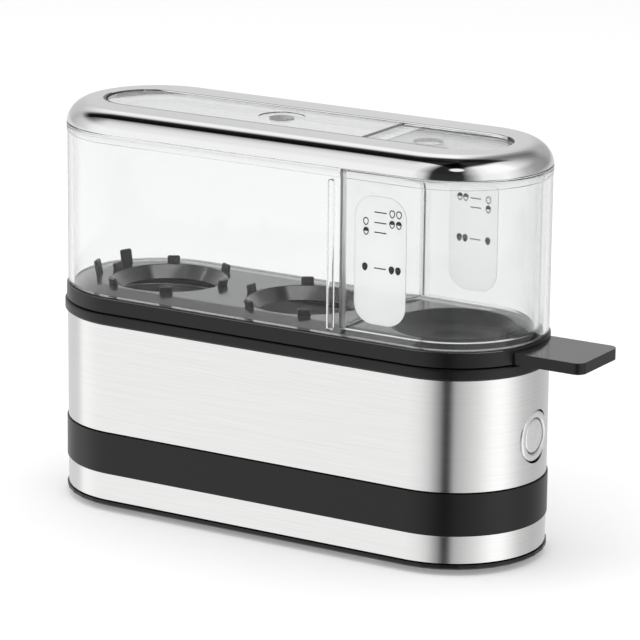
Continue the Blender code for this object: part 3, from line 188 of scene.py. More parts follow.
def apply_modifiers(piece):
    """Replace a piece's mesh by the result of its modifiers."""
    bpy.context.view_layer.update()
    evaluated = piece.evaluated_get(bpy.context.evaluated_depsgraph_get())
    mesh = bpy.data.meshes.new_from_object(evaluated)
    piece.modifiers.clear()
    old = piece.data
    piece.data = mesh
    bpy.data.meshes.remove(old)
    mesh.name = piece.name
    return piece


def combine(piece, others, operation):
    """Join other pieces to this one, or cut them from it, and apply the result."""
    for other in others:
        modifier = piece.modifiers.new(operation, "BOOLEAN")
        modifier.operation = operation
        modifier.solver = "EXACT"
        modifier.object = other
    apply_modifiers(piece)
    for other in others:
        bpy.data.objects.remove(other, do_unlink=True)
    return piece


def settle_wall_normals(piece, least=0.98):
    """Give the upright walls of a stadium-shaped piece their true round normals."""
    mesh = piece.data
    normals = []
    corner_normals = [corner.vector.copy() for corner in mesh.corner_normals]
    for polygon in mesh.polygons:
        for loop in polygon.loop_indices:
            place = mesh.vertices[mesh.loops[loop].vertex_index].co
            along = place.x - BODY_X
            held = max(-REACH, min(REACH, along))
            radial = Vector((along - held, place.y, 0)).normalized()
            facing = radial.dot(polygon.normal)
            if facing > least:
                normals.append(radial)
            elif facing < -least:
                normals.append(-radial)
            else:
                normals.append(corner_normals[loop])
    mesh.normals_split_custom_set(normals)
    return piece


def favour_flats(piece):
    """Let large flat faces keep their own normals beside small rounded edges."""
    modifier = piece.modifiers.new("normals", "WEIGHTED_NORMAL")
    modifier.keep_sharp = True
    return apply_modifiers(piece)


def on_body(piece, body, slot, *nodes):
    """Hang a piece on its body and hide the CAD nodes it stands for."""
    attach(piece, body)
    if nodes:
        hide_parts(*nodes)
    return piece


# Material helpers

def principled(name, color, roughness, metallic=0.0):
    material = bpy.data.materials.new(name)
    material.use_nodes = True
    tree = material.node_tree
    shader = tree.nodes["Principled BSDF"]
    shader.inputs["Base Color"].default_value = (*color, 1.0)
    shader.inputs["Roughness"].default_value = roughness
    shader.inputs["Metallic"].default_value = metallic
    return material, tree, shader


def stretched_noise(tree, scale, stretch, detail=4.0):
    """Noise in the piece's own space, stretched along the axes by one over stretch."""
    coords = tree.nodes.new("ShaderNodeTexCoord")
    mapping = tree.nodes.new("ShaderNodeMapping")
    mapping.inputs["Scale"].default_value = stretch
    noise = tree.nodes.new("ShaderNodeTexNoise")
    noise.inputs["Scale"].default_value = scale
    noise.inputs["Detail"].default_value = detail
    tree.links.new(coords.outputs["Object"], mapping.inputs["Vector"])
    tree.links.new(mapping.outputs["Vector"], noise.inputs["Vector"])
    return noise


def ramp_between(tree, source, low, high, start=0.3, end=0.7):
    """A ramp from one grey or colour to another over a noise's range."""
    ramp = tree.nodes.new("ShaderNodeValToRGB")
    ramp.color_ramp.elements[0].position = start
    ramp.color_ramp.elements[1].position = end
    ramp.color_ramp.elements[0].color = low
    ramp.color_ramp.elements[1].color = high
    tree.links.new(source, ramp.inputs["Fac"])
    return ramp


def add_bump(tree, shader, source, strength, distance):
    bump = tree.nodes.new("ShaderNodeBump")
    bump.inputs["Strength"].default_value = strength
    bump.inputs["Distance"].default_value = distance
    tree.links.new(source, bump.inputs["Height"])
    tree.links.new(bump.outputs["Normal"], shader.inputs["Normal"])


def brushed_steel():
    """Stainless sheet, brushed along the body: fine level lines and a soft upright smear."""
    material, tree, shader = principled("brushed_steel_sheet", (0.78, 0.78, 0.775), 0.24, 1.0)
    lines = stretched_noise(tree, 60.0, (0.7, 0.7, 130.0), 5.0)
    tone = ramp_between(tree, lines.outputs["Fac"], (0.74, 0.74, 0.735, 1), (0.83, 0.83, 0.825, 1))
    tree.links.new(tone.outputs["Color"], shader.inputs["Base Color"])
    rough = ramp_between(tree, lines.outputs["Fac"], (0.21, 0.21, 0.21, 1), (0.27, 0.27, 0.27, 1))
    tree.links.new(rough.outputs["Color"], shader.inputs["Roughness"])
    add_bump(tree, shader, lines.outputs["Fac"], 0.06, 0.0001)
    tangent = tree.nodes.new("ShaderNodeTangent")
    tangent.direction_type = "RADIAL"
    tangent.axis = "Z"
    tree.links.new(tangent.outputs["Tangent"], shader.inputs["Tangent"])
    shader.inputs["Anisotropic"].default_value = 0.75
    shader.inputs["Anisotropic Rotation"].default_value = 0.25
    return material


def polished_chrome():
    """Chrome plating with the faintest waviness and wipe marks."""
    material, tree, shader = principled("polished_chrome", (0.87, 0.87, 0.88), 0.06, 1.0)
    haze = stretched_noise(tree, 90.0, (1, 1, 1), 3.0)
    rough = ramp_between(tree, haze.outputs["Fac"], (0.045, 0.045, 0.045, 1), (0.085, 0.085, 0.085, 1))
    tree.links.new(rough.outputs["Color"], shader.inputs["Roughness"])
    return material


def satin_black(name="satin_black_plastic", value=0.005, low=0.27, high=0.33, specular=0.34, ior=1.5,
                bump=0.12):
    """Moulded black plastic with a fine spark-eroded grain."""
    material, tree, shader = principled(name, (value, value, value * 1.02), low)
    shader.inputs["Specular IOR Level"].default_value = specular
    shader.inputs["IOR"].default_value = ior
    grain = stretched_noise(tree, 2600.0, (1, 1, 1), 2.0)
    patches = stretched_noise(tree, 35.0, (1, 1, 1), 3.0)
    rough = ramp_between(tree, patches.outputs["Fac"], (low, low, low, 1), (high, high, high, 1))
    tree.links.new(rough.outputs["Color"], shader.inputs["Roughness"])
    add_bump(tree, shader, grain.outputs["Fac"], bump, 0.00005)
    return material


def clear_plastic(name="clear_plastic_shell", tint=(0.93, 0.935, 0.935), roughness=0.015):
    """Clear moulded plastic with faint flow lines; its colour darkens towards grazing angles as painted
    shade.
    """
    material, tree, shader = principled(name, tint, roughness)
    shader.inputs["Transmission Weight"].default_value = 1.0
    shader.inputs["IOR"].default_value = 1.45
    shader.inputs["Specular Tint"].default_value = (0.45, 0.45, 0.45, 1)
    # Painted shade: the base colour darkens where the surface is seen edge-on
    edge = tree.nodes.new("ShaderNodeLayerWeight")
    edge.inputs["Blend"].default_value = 0.5
    shade = tuple(0.62 * value for value in tint)
    body = ramp_between(tree, edge.outputs["Facing"], (*tint, 1), (*shade, 1), 0.55, 1.0)
    tree.links.new(body.outputs["Color"], shader.inputs["Base Color"])
    flow = stretched_noise(tree, 30.0, (1, 1, 0.3), 2.0)
    rough = ramp_between(tree, flow.outputs["Fac"], (roughness,) * 3 + (1,), (roughness * 2,) * 3 + (1,))
    tree.links.new(rough.outputs["Color"], shader.inputs["Roughness"])
    return material


def frosted_plastic(name, glow, tone=0.90, cover=0.70):
    """Milky plastic; the glow is painted light, an emission standing in for the light that comes through it.
    """
    material, tree, shader = principled(name, (tone, tone, tone), 0.5)
    shader.inputs["Alpha"].default_value = cover
    shader.inputs["Emission Color"].default_value = (1, 1, 1, 1)
    shader.inputs["Emission Strength"].default_value = glow
    grain = stretched_noise(tree, 3000.0, (1, 1, 1), 2.0)
    rough = ramp_between(tree, grain.outputs["Fac"], (0.42, 0.42, 0.42, 1), (0.6, 0.6, 0.6, 1))
    tree.links.new(rough.outputs["Color"], shader.inputs["Roughness"])
    return material


def matt(name, low, high, roughness, scale=900.0, metallic=0.0, bump=0.1):
    """A plain finish whose tone varies slightly at a fine scale."""
    material, tree, shader = principled(name, low, roughness, metallic)
    noise = stretched_noise(tree, scale, (1, 1, 1), 3.0)
    tone = ramp_between(tree, noise.outputs["Fac"], (*low, 1), (*high, 1))
    tree.links.new(tone.outputs["Color"], shader.inputs["Base Color"])
    add_bump(tree, shader, noise.outputs["Fac"], bump, 0.00005)
    return material


STEEL = brushed_steel()
CHROME = polished_chrome()
BLACK = satin_black()
# Copies of the tray's black plastic: a lighter, more reflective one for its upward faces is painted sheen,
# and a less reflective one round the bowl is painted shade
TRAY_PAINTED_SHEEN = satin_black("black_tray_painted_sheen", 0.030, 0.14, 0.18, 0.50, 2.05, 0.0)
BOWL_PAINTED_SHADE = satin_black("black_bowl_painted_shade", 0.004, 0.20, 0.26, 0.12, 1.5, 0.05)
CLEAR = clear_plastic()
CUP_CLEAR = clear_plastic("clear_plastic_cup", (0.965, 0.97, 0.97), 0.02)
CUP_CORNER = clear_plastic("clear_plastic_corner", (0.93, 0.935, 0.935), 0.20)
# The lip's darker tint is painted shade
LIP_PAINTED_SHADE = clear_plastic("clear_plastic_lip_painted_shade", (0.74, 0.745, 0.745), 0.06)
# Painted glow: the pads' outer faces glow faintly and their inner faces more strongly, as painted light in
# place of light passing through
FROSTED_PAD_PAINTED_GLOW = frosted_plastic("frosted_pad_painted_glow", 0.23)
FROSTED_INNER_PAINTED_GLOW = frosted_plastic("frosted_pad_inner_painted_glow", 0.70)
FROSTED_EDGE = frosted_plastic("frosted_pad_edge", 0.0, 0.55)
# The pocket's glow is painted light
FROSTED_POCKET_PAINTED_GLOW = frosted_plastic("frosted_pocket_painted_glow", 0.35, 0.90, 0.20)
# Dark metal standing in for shade: painted shade on the ring's opening
RING_PAINTED_SHADE = matt("chrome_painted_shade", (0.10, 0.10, 0.10), (0.14, 0.14, 0.14), 0.30, 500.0, 1.0, 0.0)
RUBBER = matt("black_rubber", (0.022, 0.022, 0.022), (0.034, 0.034, 0.034), 0.75)
BRIGHT = matt("bright_steel", (0.58, 0.58, 0.58), (0.66, 0.66, 0.66), 0.26, 400.0, 1.0, 0.05)
ALUMINIUM = matt("milled_aluminium", (0.70, 0.70, 0.71), (0.78, 0.78, 0.79), 0.38, 600.0, 1.0, 0.05)
CERAMIC = matt("white_ceramic", (0.80, 0.78, 0.73), (0.87, 0.85, 0.80), 0.5)
BOARD = matt("board_green", (0.03, 0.17, 0.07), (0.05, 0.24, 0.10), 0.42)
WIRE = matt("wire_insulation", (0.70, 0.69, 0.65), (0.78, 0.77, 0.73), 0.55)
SATIN_CHROME = matt("satin_chrome", (0.88, 0.88, 0.89), (0.97, 0.97, 0.98), 0.40, 500.0, 1.0, 0.05)
STEP_GREY = matt("textured_step", (0.36, 0.36, 0.36), (0.46, 0.46, 0.46), 0.6)
HOLE_GREY = matt("textured_hole", (0.50, 0.50, 0.50), (0.60, 0.60, 0.60), 0.6)
INK = matt("printed_ink", (0.002, 0.002, 0.002), (0.004, 0.004, 0.004), 0.8, bump=0.0)
FADED_INK = matt("printed_ink_through_pad", (0.42, 0.42, 0.42), (0.46, 0.46, 0.46), 0.8, bump=0.0)

SLOT_FINISHES = {
    "brushed_steel": STEEL,
    "black_plastic": BLACK,
    "chrome": CHROME,
    "clear_plastic": CLEAR,
    "frosted_plastic": FROSTED_PAD_PAINTED_GLOW,
    "rubber": RUBBER,
    "bright_steel": BRIGHT,
    "aluminium": ALUMINIUM,
    "ceramic": CERAMIC,
    "board_green": BOARD,
    "wire_insulation": WIRE,
}
for entry in frame["record"]["subparts"]:
    node = NODES[entry["node"]]
    node.data.materials.clear()
    node.data.materials.append(SLOT_FINISHES[entry["material_slot"]])

# Heights of the stacked pieces, from the floor up
LOWER_SLEEVE = (0.0040, 0.0134)
BELT = (0.0137, 0.0277)
UPPER_SLEEVE = (0.0280, 0.0655)
RIM = (0.0658, 0.0694)
SHELF = (0.0639, 0.0657)
TRAY_Z = 0.0697
SKIRT_TOP = 0.0750
PLATEAU = 0.0765
HOOD_Z = 0.0753
LIP = (0.1277, 0.1307)
RING = (0.1310, 0.1380)
TOP_PLATE = 0.1376
CEILING = 0.1347
CUP = (0.0769, 0.1343)
BUTTON_Z = 0.0430
GLAND = (BODY_X - REACH / 2, 0.0207)
ALONG_X = (0, math.pi / 2, 0)
ALONG_Y = (-math.pi / 2, 0, 0)
SLEEVE_INNER = BODY_RADIUS - 0.0007
TONGUE_OUTER = SLEEVE_INNER - GAP
TONGUE_INNER = TONGUE_OUTER - 0.0014
HOOD_OUTER = 0.03075
HOOD_INNER = 0.02895
SEATS = (BODY_X - 0.05310, BODY_X + 0.00140)
BOWL_X = BODY_X + REACH

# Places in the ring, the hood and the cup
OPENING = 0.0141
OPENING_REACH = 0.00415
HOLE_X = BODY_X - 0.0090
HOLE_RADIUS = 0.00415
HOLE_SINK_RADIUS = 0.00785
CUP_RADIUS = 0.0276
CUP_FLAT = 0.0293
CUP_WALL = 0.0016
CUP_ROUND = 0.0036


def rod(radius, low, high, location, rotation=(0, 0, 0), steps=64):
    """A plain round cutter."""
    mesh = turned([(0, low), (radius, low), (radius, high), (0, high)], steps)
    return piece_from("cutter", mesh, None, location, rotation)


# Steel sleeves

def sleeve(name, low, high):
    edge = 0.0002
    profile = filleted([(SLEEVE_INNER, low, 0), (BODY_RADIUS, low, edge), (BODY_RADIUS, high, edge),
                        (SLEEVE_INNER, high, 0)], True)
    piece = piece_from(name, stadium_loft(profile, True), STEEL)
    if name == "upper_sleeve_skin":
        hole = rod(0.00895, 0.06, 0.10, (BODY_X, 0, BUTTON_Z), ALONG_X)
        combine(piece, [hole], "DIFFERENCE")
    return settle_wall_normals(piece)


on_body(sleeve("lower_sleeve_skin", *LOWER_SLEEVE), "base", "brushed_steel", "lower_sleeve")
on_body(sleeve("upper_sleeve_skin", *UPPER_SLEEVE), "base", "brushed_steel", "upper_sleeve")


# Black band between the sleeves
def belt():
    radius = BODY_RADIUS + 0.00045
    low, high = BELT
    tongue = 0.0030
    profile = filleted([(TONGUE_INNER, low - tongue, 0), (TONGUE_OUTER, low - tongue, 0),
                        (TONGUE_OUTER, low, 0), (radius, low, 0.00025), (radius, high, 0.00025),
                        (TONGUE_OUTER, high, 0), (TONGUE_OUTER, high + tongue, 0),
                        (TONGUE_INNER, high + tongue, 0)], True)
    piece = piece_from("belt_band_skin", stadium_loft(profile, True), BLACK)
    holes = [rod(0.0063, 0.03030, 0.0330, (GLAND[0], 0, GLAND[1]), ALONG_Y),
             rod(0.0048, 0.0155, 0.0330, (GLAND[0], 0, GLAND[1]), ALONG_Y)]
    combine(piece, holes, "DIFFERENCE")
    return settle_wall_normals(piece)


on_body(belt(), "base", "black_plastic", "belt_band")


# Top rim
def rim():
    low, high = RIM
    pocket = 0.0284
    shelf_inner = 0.0244
    profile = filleted([(TONGUE_OUTER, low, 0), (0.0319, low, 0.0005), (0.0319, high, 0.0006),
                        (pocket, high, 0.0003), (pocket, SHELF[1], 0), (shelf_inner, SHELF[1], 0),
                        (shelf_inner, SHELF[0], 0), (TONGUE_INNER, SHELF[0], 0),
                        (TONGUE_INNER, 0.0600, 0), (TONGUE_OUTER, 0.0600, 0)], True)
    return piece_from("top_rim_skin", stadium_loft(profile, True), BLACK)


on_body(rim(), "base", "black_plastic", "top_rim")


# Heating dish with its coated basin
def dish():
    radius = 0.0241
    wall = 0.0008
    inner = radius - wall
    flange_z = 0.0675
    top = 0.0683
    floor = 0.0580
    cap = 0.0010
    profile = filleted([(cap, floor - wall, 0), (radius, floor - wall, 0.0030), (radius, flange_z, 0.0003),
                        (0.0278, flange_z, 0), (0.0278, top, 0.0003), (inner, top, 0.0006),
                        (inner, floor, 0.0030), (cap, floor, 0)], False, 6)
    return piece_from("heating_dish_skin", stadium_loft(profile, False), BRIGHT)


on_body(dish(), "base", "bright_steel", "heating_dish")


# Button and its bezel
def bezel():
    front = 0.08875
    profile = filleted([(0.0061, front, 0.0006), (0.00865, front, 0.0009), (0.00865, 0.0869, 0),
                        (0.0083, 0.0869, 0), (0.0083, 0.0804, 0), (0.0073, 0.0804, 0),
                        (0.0073, 0.0866, 0), (0.0061, 0.0866, 0)], True)
    mesh = turned([(point[0], point[1]) for point in profile], 96, True)
    return piece_from("button_bezel_skin", mesh, SATIN_CHROME, (BODY_X, 0, BUTTON_Z), ALONG_X)


def button():
    front = 0.08845
    profile = filleted([(0, front, 0), (0.0056, front, 0.0005), (0.0056, 0.0863, 0), (0.0069, 0.0863, 0),
                        (0.0069, 0.0853, 0), (0.0025, 0.0853, 0), (0.0025, 0.0783, 0), (0, 0.0783, 0)],
                       False)
    mesh = turned([(point[0], point[1]) for point in profile], 96)
    return piece_from("push_button_skin", mesh, SATIN_CHROME, (BODY_X, 0, BUTTON_Z), ALONG_X)


on_body(bezel(), "base", "chrome", "button_bezel")
on_body(button(), "button", "chrome", "push_button")


# Egg tray with its skirt, seats, bowl, tabs and handle
def tray():
    rib_outer = 0.0281
    rib_inner = 0.0265
    flank = HOOD_INNER - GAP
    wall = 0.0018
    cap = 0.0084
    radius = 0.0313
    profile = filleted([(cap, PLATEAU, 0), (0.0210, PLATEAU, 0.0040), (flank, SKIRT_TOP + GAP, 0.0001),
                        (flank, SKIRT_TOP, 0), (radius, SKIRT_TOP, 0.0006), (radius, TRAY_Z, 0.0002),
                        (rib_outer, TRAY_Z, 0), (rib_outer, TRAY_Z - 0.0011, 0),
                        (rib_inner, TRAY_Z - 0.0011, 0), (rib_inner, SKIRT_TOP - wall, 0),
                        (0.0210, PLATEAU - wall, 0), (cap, PLATEAU - wall, 0)], False)
    piece = piece_from("egg_tray_skin", stadium_loft(profile, False), TRAY_PAINTED_SHEEN)
    seat_floor = PLATEAU - 0.0043
    inside = PLATEAU - wall / 2
    top, throat = 0.0198, 0.0165
    added = []
    for seat_x in SEATS:
        funnel = [(0, inside), (top + wall, inside), (top + wall, PLATEAU - wall),
                  (throat + wall, seat_floor), (0, seat_floor)]
        added.append(piece_from("funnel", turned(funnel, 96), None, (seat_x, 0, 0)))
    bowl = [(0, inside), (top + wall, inside), (top + wall, PLATEAU - wall),
            (0.0165 + wall, PLATEAU - 0.0036 - wall / 2), (0.0100, PLATEAU - 0.0050 - wall),
            (0, PLATEAU - 0.0050 - wall)]
    added.append(piece_from("bowl", turned(bowl, 96), None, (BOWL_X, 0, 0)))
    low_x = BODY_X + REACH + radius - 0.0046
    high_x = 0.1009
    handle = block((high_x - low_x, 0.0260, 0.0038), 0.0030, 6, True)
    added.append(piece_from("handle", handle, None, ((low_x + high_x) / 2, 0, TRAY_Z + 0.0020)))
    combine(piece, added, "UNION")
    holes = []
    for seat_x in SEATS:
        shape = filleted([(0, PLATEAU + 0.001, 0), (top + 0.0006, PLATEAU + 0.001, 0),
                          (top, PLATEAU - 0.0002, 0.0006), (throat, seat_floor, 0),
                          (throat, seat_floor - 0.001, 0), (0, seat_floor - 0.001, 0)], False)
        holes.append(piece_from("throat", turned([point[:2] for point in shape], 96), None, (seat_x, 0, 0)))
    shape = filleted([(0, PLATEAU + 0.001, 0), (top + 0.0006, PLATEAU + 0.001, 0),
                      (top, PLATEAU - 0.0002, 0.0008), (0.0165, PLATEAU - 0.0036, 0.0020),
                      (0.0100, PLATEAU - 0.0050, 0.0040), (0, PLATEAU - 0.0050, 0)], False)
    holes.append(piece_from("hollow", turned([point[:2] for point in shape], 96), None, (BOWL_X, 0, 0)))
    combine(piece, holes, "DIFFERENCE")
    turns = [math.pi * step / 6 for step in range(13)]
    bead = [(0.0202 + 0.0005 * math.cos(turn), PLATEAU + 0.0003 * math.sin(turn)) for turn in turns]
    tabs = [piece_from("bead", turned(bead[:-1], 96, True), None, (BOWL_X, 0, 0))]
    root, lean = 0.0014, math.radians(12)
    low_rise = 0.0026
    tall_rise, tall_angle, tall_out = 0.0050, 20.4, 0.0041
    for number, seat_x in enumerate(SEATS):
        ring = top + 0.0016
        angles = [(60 * step, low_rise, ring) for step in range(6)]
        if number == 0:
            angles += [(180 + side * tall_angle, tall_rise, ring + tall_out) for side in (-1, 1)]
        for degrees, rise, radius in angles:
            angle = math.radians(degrees)
            middle = PLATEAU + (rise - root) / 2
            place = (seat_x + radius * math.cos(angle), radius * math.sin(angle), middle)
            tabs.append(piece_from("tab", block((0.0016, 0.0044, rise + root), 0.0007, 3), None, place,
                                   (0, lean, angle)))
    combine(piece, tabs, "UNION")
    piece.data.shade_smooth()
    piece.data.set_sharp_from_angle(angle=math.radians(28))
    piece.data.materials.clear()
    for finish in (BLACK, TRAY_PAINTED_SHEEN, BOWL_PAINTED_SHADE):
        piece.data.materials.append(finish)
    # Upward faces take the painted sheen, those round the bowl take the painted shade, and the sides keep
    # the plain black
    bowl_reach = 0.0290
    lowest_painted_sheen = SKIRT_TOP - 0.0060
    for polygon in piece.data.polygons:
        centre = polygon.center
        from_bowl = math.hypot(centre.x - BOWL_X, centre.y)
        if polygon.normal.z > 0.5 and centre.z > lowest_painted_sheen and centre.x < low_x:
            polygon.material_index = 2 if from_bowl < bowl_reach else 1
        elif polygon.normal.z > 0.9:
            polygon.material_index = 1
        else:
            polygon.material_index = 0
    return favour_flats(piece)


on_body(tray(), "tray", "black_plastic", "egg_tray")


# Chrome ring round the hood's top
SHOULDER = 0.0080
SHOULDER_CENTRE = (BODY_RADIUS - SHOULDER, RING[1] - SHOULDER)

def shoulder(size, low_z, steps=16):
    """Points of the quarter round between a wall and a flat top, from the wall upwards."""
    start = math.asin((low_z - SHOULDER_CENTRE[1]) / size)
    points = []
    for step in range(steps + 1):
        angle = start + (math.pi / 2 - start) * step / steps
        points.append((SHOULDER_CENTRE[0] + size * math.cos(angle),
                       SHOULDER_CENTRE[1] + size * math.sin(angle), 0.0))
    return points


def chrome_ring():
    """The ring; dark faces of painted shade mark the two tips of its opening and the edge along the front.
    """
    wall = 0.0012
    outer = shoulder(SHOULDER, RING[0])
    inner = shoulder(SHOULDER - wall, RING[0])
    profile = list(outer)
    strip = OPENING + 0.0011
    edge = filleted([(outer[-1][0], RING[1], 0), (strip, RING[1], 0, OPENING_REACH),
                     (OPENING, RING[1], 0.0005, OPENING_REACH),
                     (OPENING, RING[1] - wall, 0.0001, OPENING_REACH), (inner[-1][0], RING[1] - wall, 0)],
                    False)
    profile += edge[1:-1]
    profile += reversed(inner)
    piece = piece_from("hood_ring_skin", stadium_loft(profile, True, 96), CHROME, sharp=50)
    piece.data.materials.append(RING_PAINTED_SHADE)
    # Painted shade: the tips of the opening and a strip along its front edge take the dark finish
    right_tip, left_tip = (-5, 60), 130
    for polygon in piece.data.polygons:
        along = polygon.center.x - BODY_X
        held = max(-REACH - OPENING_REACH, min(REACH + OPENING_REACH, along))
        from_axis = math.hypot(along - held, polygon.center.y)
        angle = math.degrees(math.atan2(polygon.center.y, along - held))
        at_tip = right_tip[0] < angle < right_tip[1] if along > 0 else abs(angle) > left_tip
        on_strip = polygon.normal.z > 0.5 and polygon.center.y < 0 and along < REACH
        if from_axis < OPENING + 0.0004 and at_tip or from_axis < strip and on_strip:
            polygon.material_index = 1
    return piece


on_body(chrome_ring(), "hood", "chrome", "hood_ring")


# Clear hood
def hood():
    """The hood; its finishes are clear, textured step, textured hole and the lip darkened by painted shade.
    """
    outer = shoulder(SHOULDER - 0.0012 - GAP, LIP[1])
    inner = shoulder(SHOULDER - 0.0012 - GAP - 0.0018, SHOULDER_CENTRE[1])
    cap = 0.0056
    plate = OPENING - 0.00025
    profile = [(cap, TOP_PLATE, 0.0)]
    profile += filleted([(cap, TOP_PLATE, 0), (plate, TOP_PLATE, 0.0004, OPENING_REACH),
                         (plate, outer[-1][1], 0.0002, OPENING_REACH), (outer[-1][0], outer[-1][1], 0)],
                        False)[1:-1]
    profile += reversed(outer)
    profile += filleted([(outer[0][0], LIP[1], 0), (BODY_RADIUS, LIP[1], 0.0003),
                         (BODY_RADIUS, LIP[0] + 0.00025, 0.0002), (HOOD_OUTER, LIP[0], 0.0002),
                         (HOOD_OUTER, HOOD_Z, 0.0004), (HOOD_INNER, HOOD_Z, 0.0004),
                         (HOOD_INNER, LIP[0], 0)], False)[1:]
    profile += inner
    profile.append((cap, inner[-1][1], 0.0))
    piece = piece_from("hood_skin", stadium_loft(profile, False), CLEAR)
    flat_x = BODY_X + CUP_FLAT
    rail_length = 0.0502
    rails = []
    for side in (-1, 1):
        y = HOOD_INNER + 0.0009 - 0.0012 - 0.00045
        z = HOOD_Z + 0.0008 + rail_length / 2
        rails.append(piece_from("rail", block((0.0022, 0.0024, rail_length), 0.0008, 4), None,
                                (flat_x - GAP - 0.0011, side * y, z)))
    combine(piece, rails, "UNION")
    end_x = BODY_X + REACH + OPENING + OPENING_REACH
    holes = [
        rod(HOLE_RADIUS, CEILING - SHOULDER, TOP_PLATE + 0.001, (HOLE_X, 0, 0)),
        rod(HOLE_SINK_RADIUS, TOP_PLATE - 0.0003, TOP_PLATE + 0.001, (HOLE_X, 0, 0)),
        piece_from("step", block((end_x - flat_x, 2 * OPENING, 0.0019), 0), None,
                   ((end_x + flat_x) / 2, 0, TOP_PLATE - 0.0009 + 0.00095)),
    ]
    combine(piece, holes, "DIFFERENCE")
    piece.data.shade_smooth()
    piece.data.set_sharp_from_angle(angle=math.radians(30))
    for finish in (STEP_GREY, HOLE_GREY, LIP_PAINTED_SHADE):
        piece.data.materials.append(finish)
    for polygon in piece.data.polygons:
        centre = polygon.center
        from_hole = math.hypot(centre.x - HOLE_X, centre.y)
        along = centre.x - BODY_X
        from_axis = math.hypot(along - max(-REACH, min(REACH, along)), centre.y)
        # On the lip, level faces take the textured step and upright faces take the painted shade
        if from_axis > HOOD_OUTER + 0.0003 and centre.z > LIP[0] - 0.0004:
            polygon.material_index = 1 if abs(polygon.normal.z) > 0.4 else 3
            continue
        if centre.z < CEILING or abs(polygon.normal.z) > 0.5:
            continue
        if abs(centre.x - flat_x) < 0.0002 and abs(polygon.normal.x) > 0.9:
            polygon.material_index = 1
        elif from_hole < HOLE_RADIUS + 0.00035:
            polygon.material_index = 2
    return settle_wall_normals(favour_flats(piece))


on_body(hood(), "hood", "clear_plastic", "hood")


# Measuring cup, upside down in the hood
def half_stadium(inset, z, steps=48, corner_steps=10):
    """Points round the cup's plan: half round at +X and flat, with round corners, at -X."""
    radius = CUP_RADIUS - inset
    corner = max(CUP_ROUND - inset, 0.0010)
    low_x = CUP_FLAT + inset
    arcs = [
        (REACH, 0, radius, -math.pi / 2, math.pi, steps),
        (low_x + corner, radius - corner, corner, math.pi / 2, math.pi / 2, corner_steps),
        (low_x + corner, corner - radius, corner, math.pi, math.pi / 2, corner_steps),
    ]
    points = []
    for centre_x, centre_y, size, start, sweep, count in arcs:
        for step in range(count + 1):
            angle = start + sweep * step / count
            x = BODY_X + centre_x + size * math.cos(angle)
            points.append((x, centre_y + size * math.sin(angle), z))
    return points


def cup():
    """The cup; its corners are softer, and the pocket round the needle is frosted, with a painted glow."""
    size = 0.0065
    rounds = 10
    mouth, top = CUP

    def curve(reach):
        points = []
        for step in range(rounds + 1):
            angle = math.pi / 2 * step / rounds
            points.append((size - reach * math.cos(angle), top - size + reach * math.sin(angle)))
        return points

    profile = list(reversed(curve(size)))
    cut = 0.0003
    profile += [(0, mouth + cut), (cut, mouth), (CUP_WALL - cut, mouth), (CUP_WALL, mouth + cut)]
    profile += curve(size - CUP_WALL)
    piece = piece_from("measuring_cup_skin", loft([half_stadium(inset, z) for inset, z in profile]),
                       CUP_CLEAR)
    place = (BODY_X + 0.0470, 0, 0)
    pocket_z = top - 0.0058
    pocket_radius = 0.0050
    boss_radius = pocket_radius + 0.0014
    combine(piece, [rod(boss_radius, pocket_z - 0.0014, top - 0.0008, place, steps=48)], "UNION")
    combine(piece, [rod(pocket_radius, pocket_z, top + 0.001, place, steps=48)], "DIFFERENCE")
    piece.data.shade_smooth()
    piece.data.set_sharp_from_angle(angle=math.radians(30))
    piece.data.materials.append(CUP_CORNER)
    piece.data.materials.append(FROSTED_POCKET_PAINTED_GLOW)
    corner_reach = CUP_ROUND + 0.0002
    corner_x = BODY_X + CUP_FLAT + corner_reach
    corner_y = CUP_RADIUS - corner_reach
    for polygon in piece.data.polygons:
        centre = polygon.center
        from_pocket = math.hypot(centre.x - place[0], centre.y)
        # The pocket round the needle takes the frosted finish with painted glow
        if from_pocket < boss_radius + 0.0002 and centre.z < top - 0.0002:
            polygon.material_index = 2
        elif centre.x < corner_x and abs(centre.y) > corner_y and abs(polygon.normal.z) < 0.5:
            polygon.material_index = 1
    return favour_flats(piece)


on_body(cup(), "cup", "clear_plastic", "measuring_cup")


# Frosted pads with the water marks
def flat_shape(name, outline, thickness, material, y, edge=0.0):
    """A thin upright plate from an outline of (x, z) points, centred on y."""
    build = bmesh.new()
    front = [build.verts.new((x, y - thickness / 2, z)) for x, z in outline]
    back = [build.verts.new((x, y + thickness / 2, z)) for x, z in outline]
    count = len(outline)
    build.faces.new(front)
    build.faces.new(list(reversed(back)))
    for index in range(count):
        following = (index + 1) % count
        build.faces.new((front[index], back[index], back[following], front[following]))
    bmesh.ops.recalc_face_normals(build, faces=build.faces)
    if edge > 0:
        rims = [one for one in build.edges if abs(one.verts[0].co.y - one.verts[1].co.y) < thickness / 4]
        bmesh.ops.bevel(build, geom=rims, offset=edge, segments=2, affect="EDGES", profile=0.5)
    mesh = bpy.data.meshes.new(name)
    build.to_mesh(mesh)
    build.free()
    return piece_from(name, mesh, material)


def round_rectangle(centre_x, centre_z, width, height, corner, steps=12):
    points = []
    for quarter, (side_x, side_z) in enumerate(((1, 1), (-1, 1), (-1, -1), (1, -1))):
        for step in range(steps + 1):
            angle = math.pi / 2 * (quarter + step / steps)
            points.append((centre_x + side_x * (width / 2 - corner) + corner * math.cos(angle),
                           centre_z + side_z * (height / 2 - corner) + corner * math.sin(angle)))
    return points


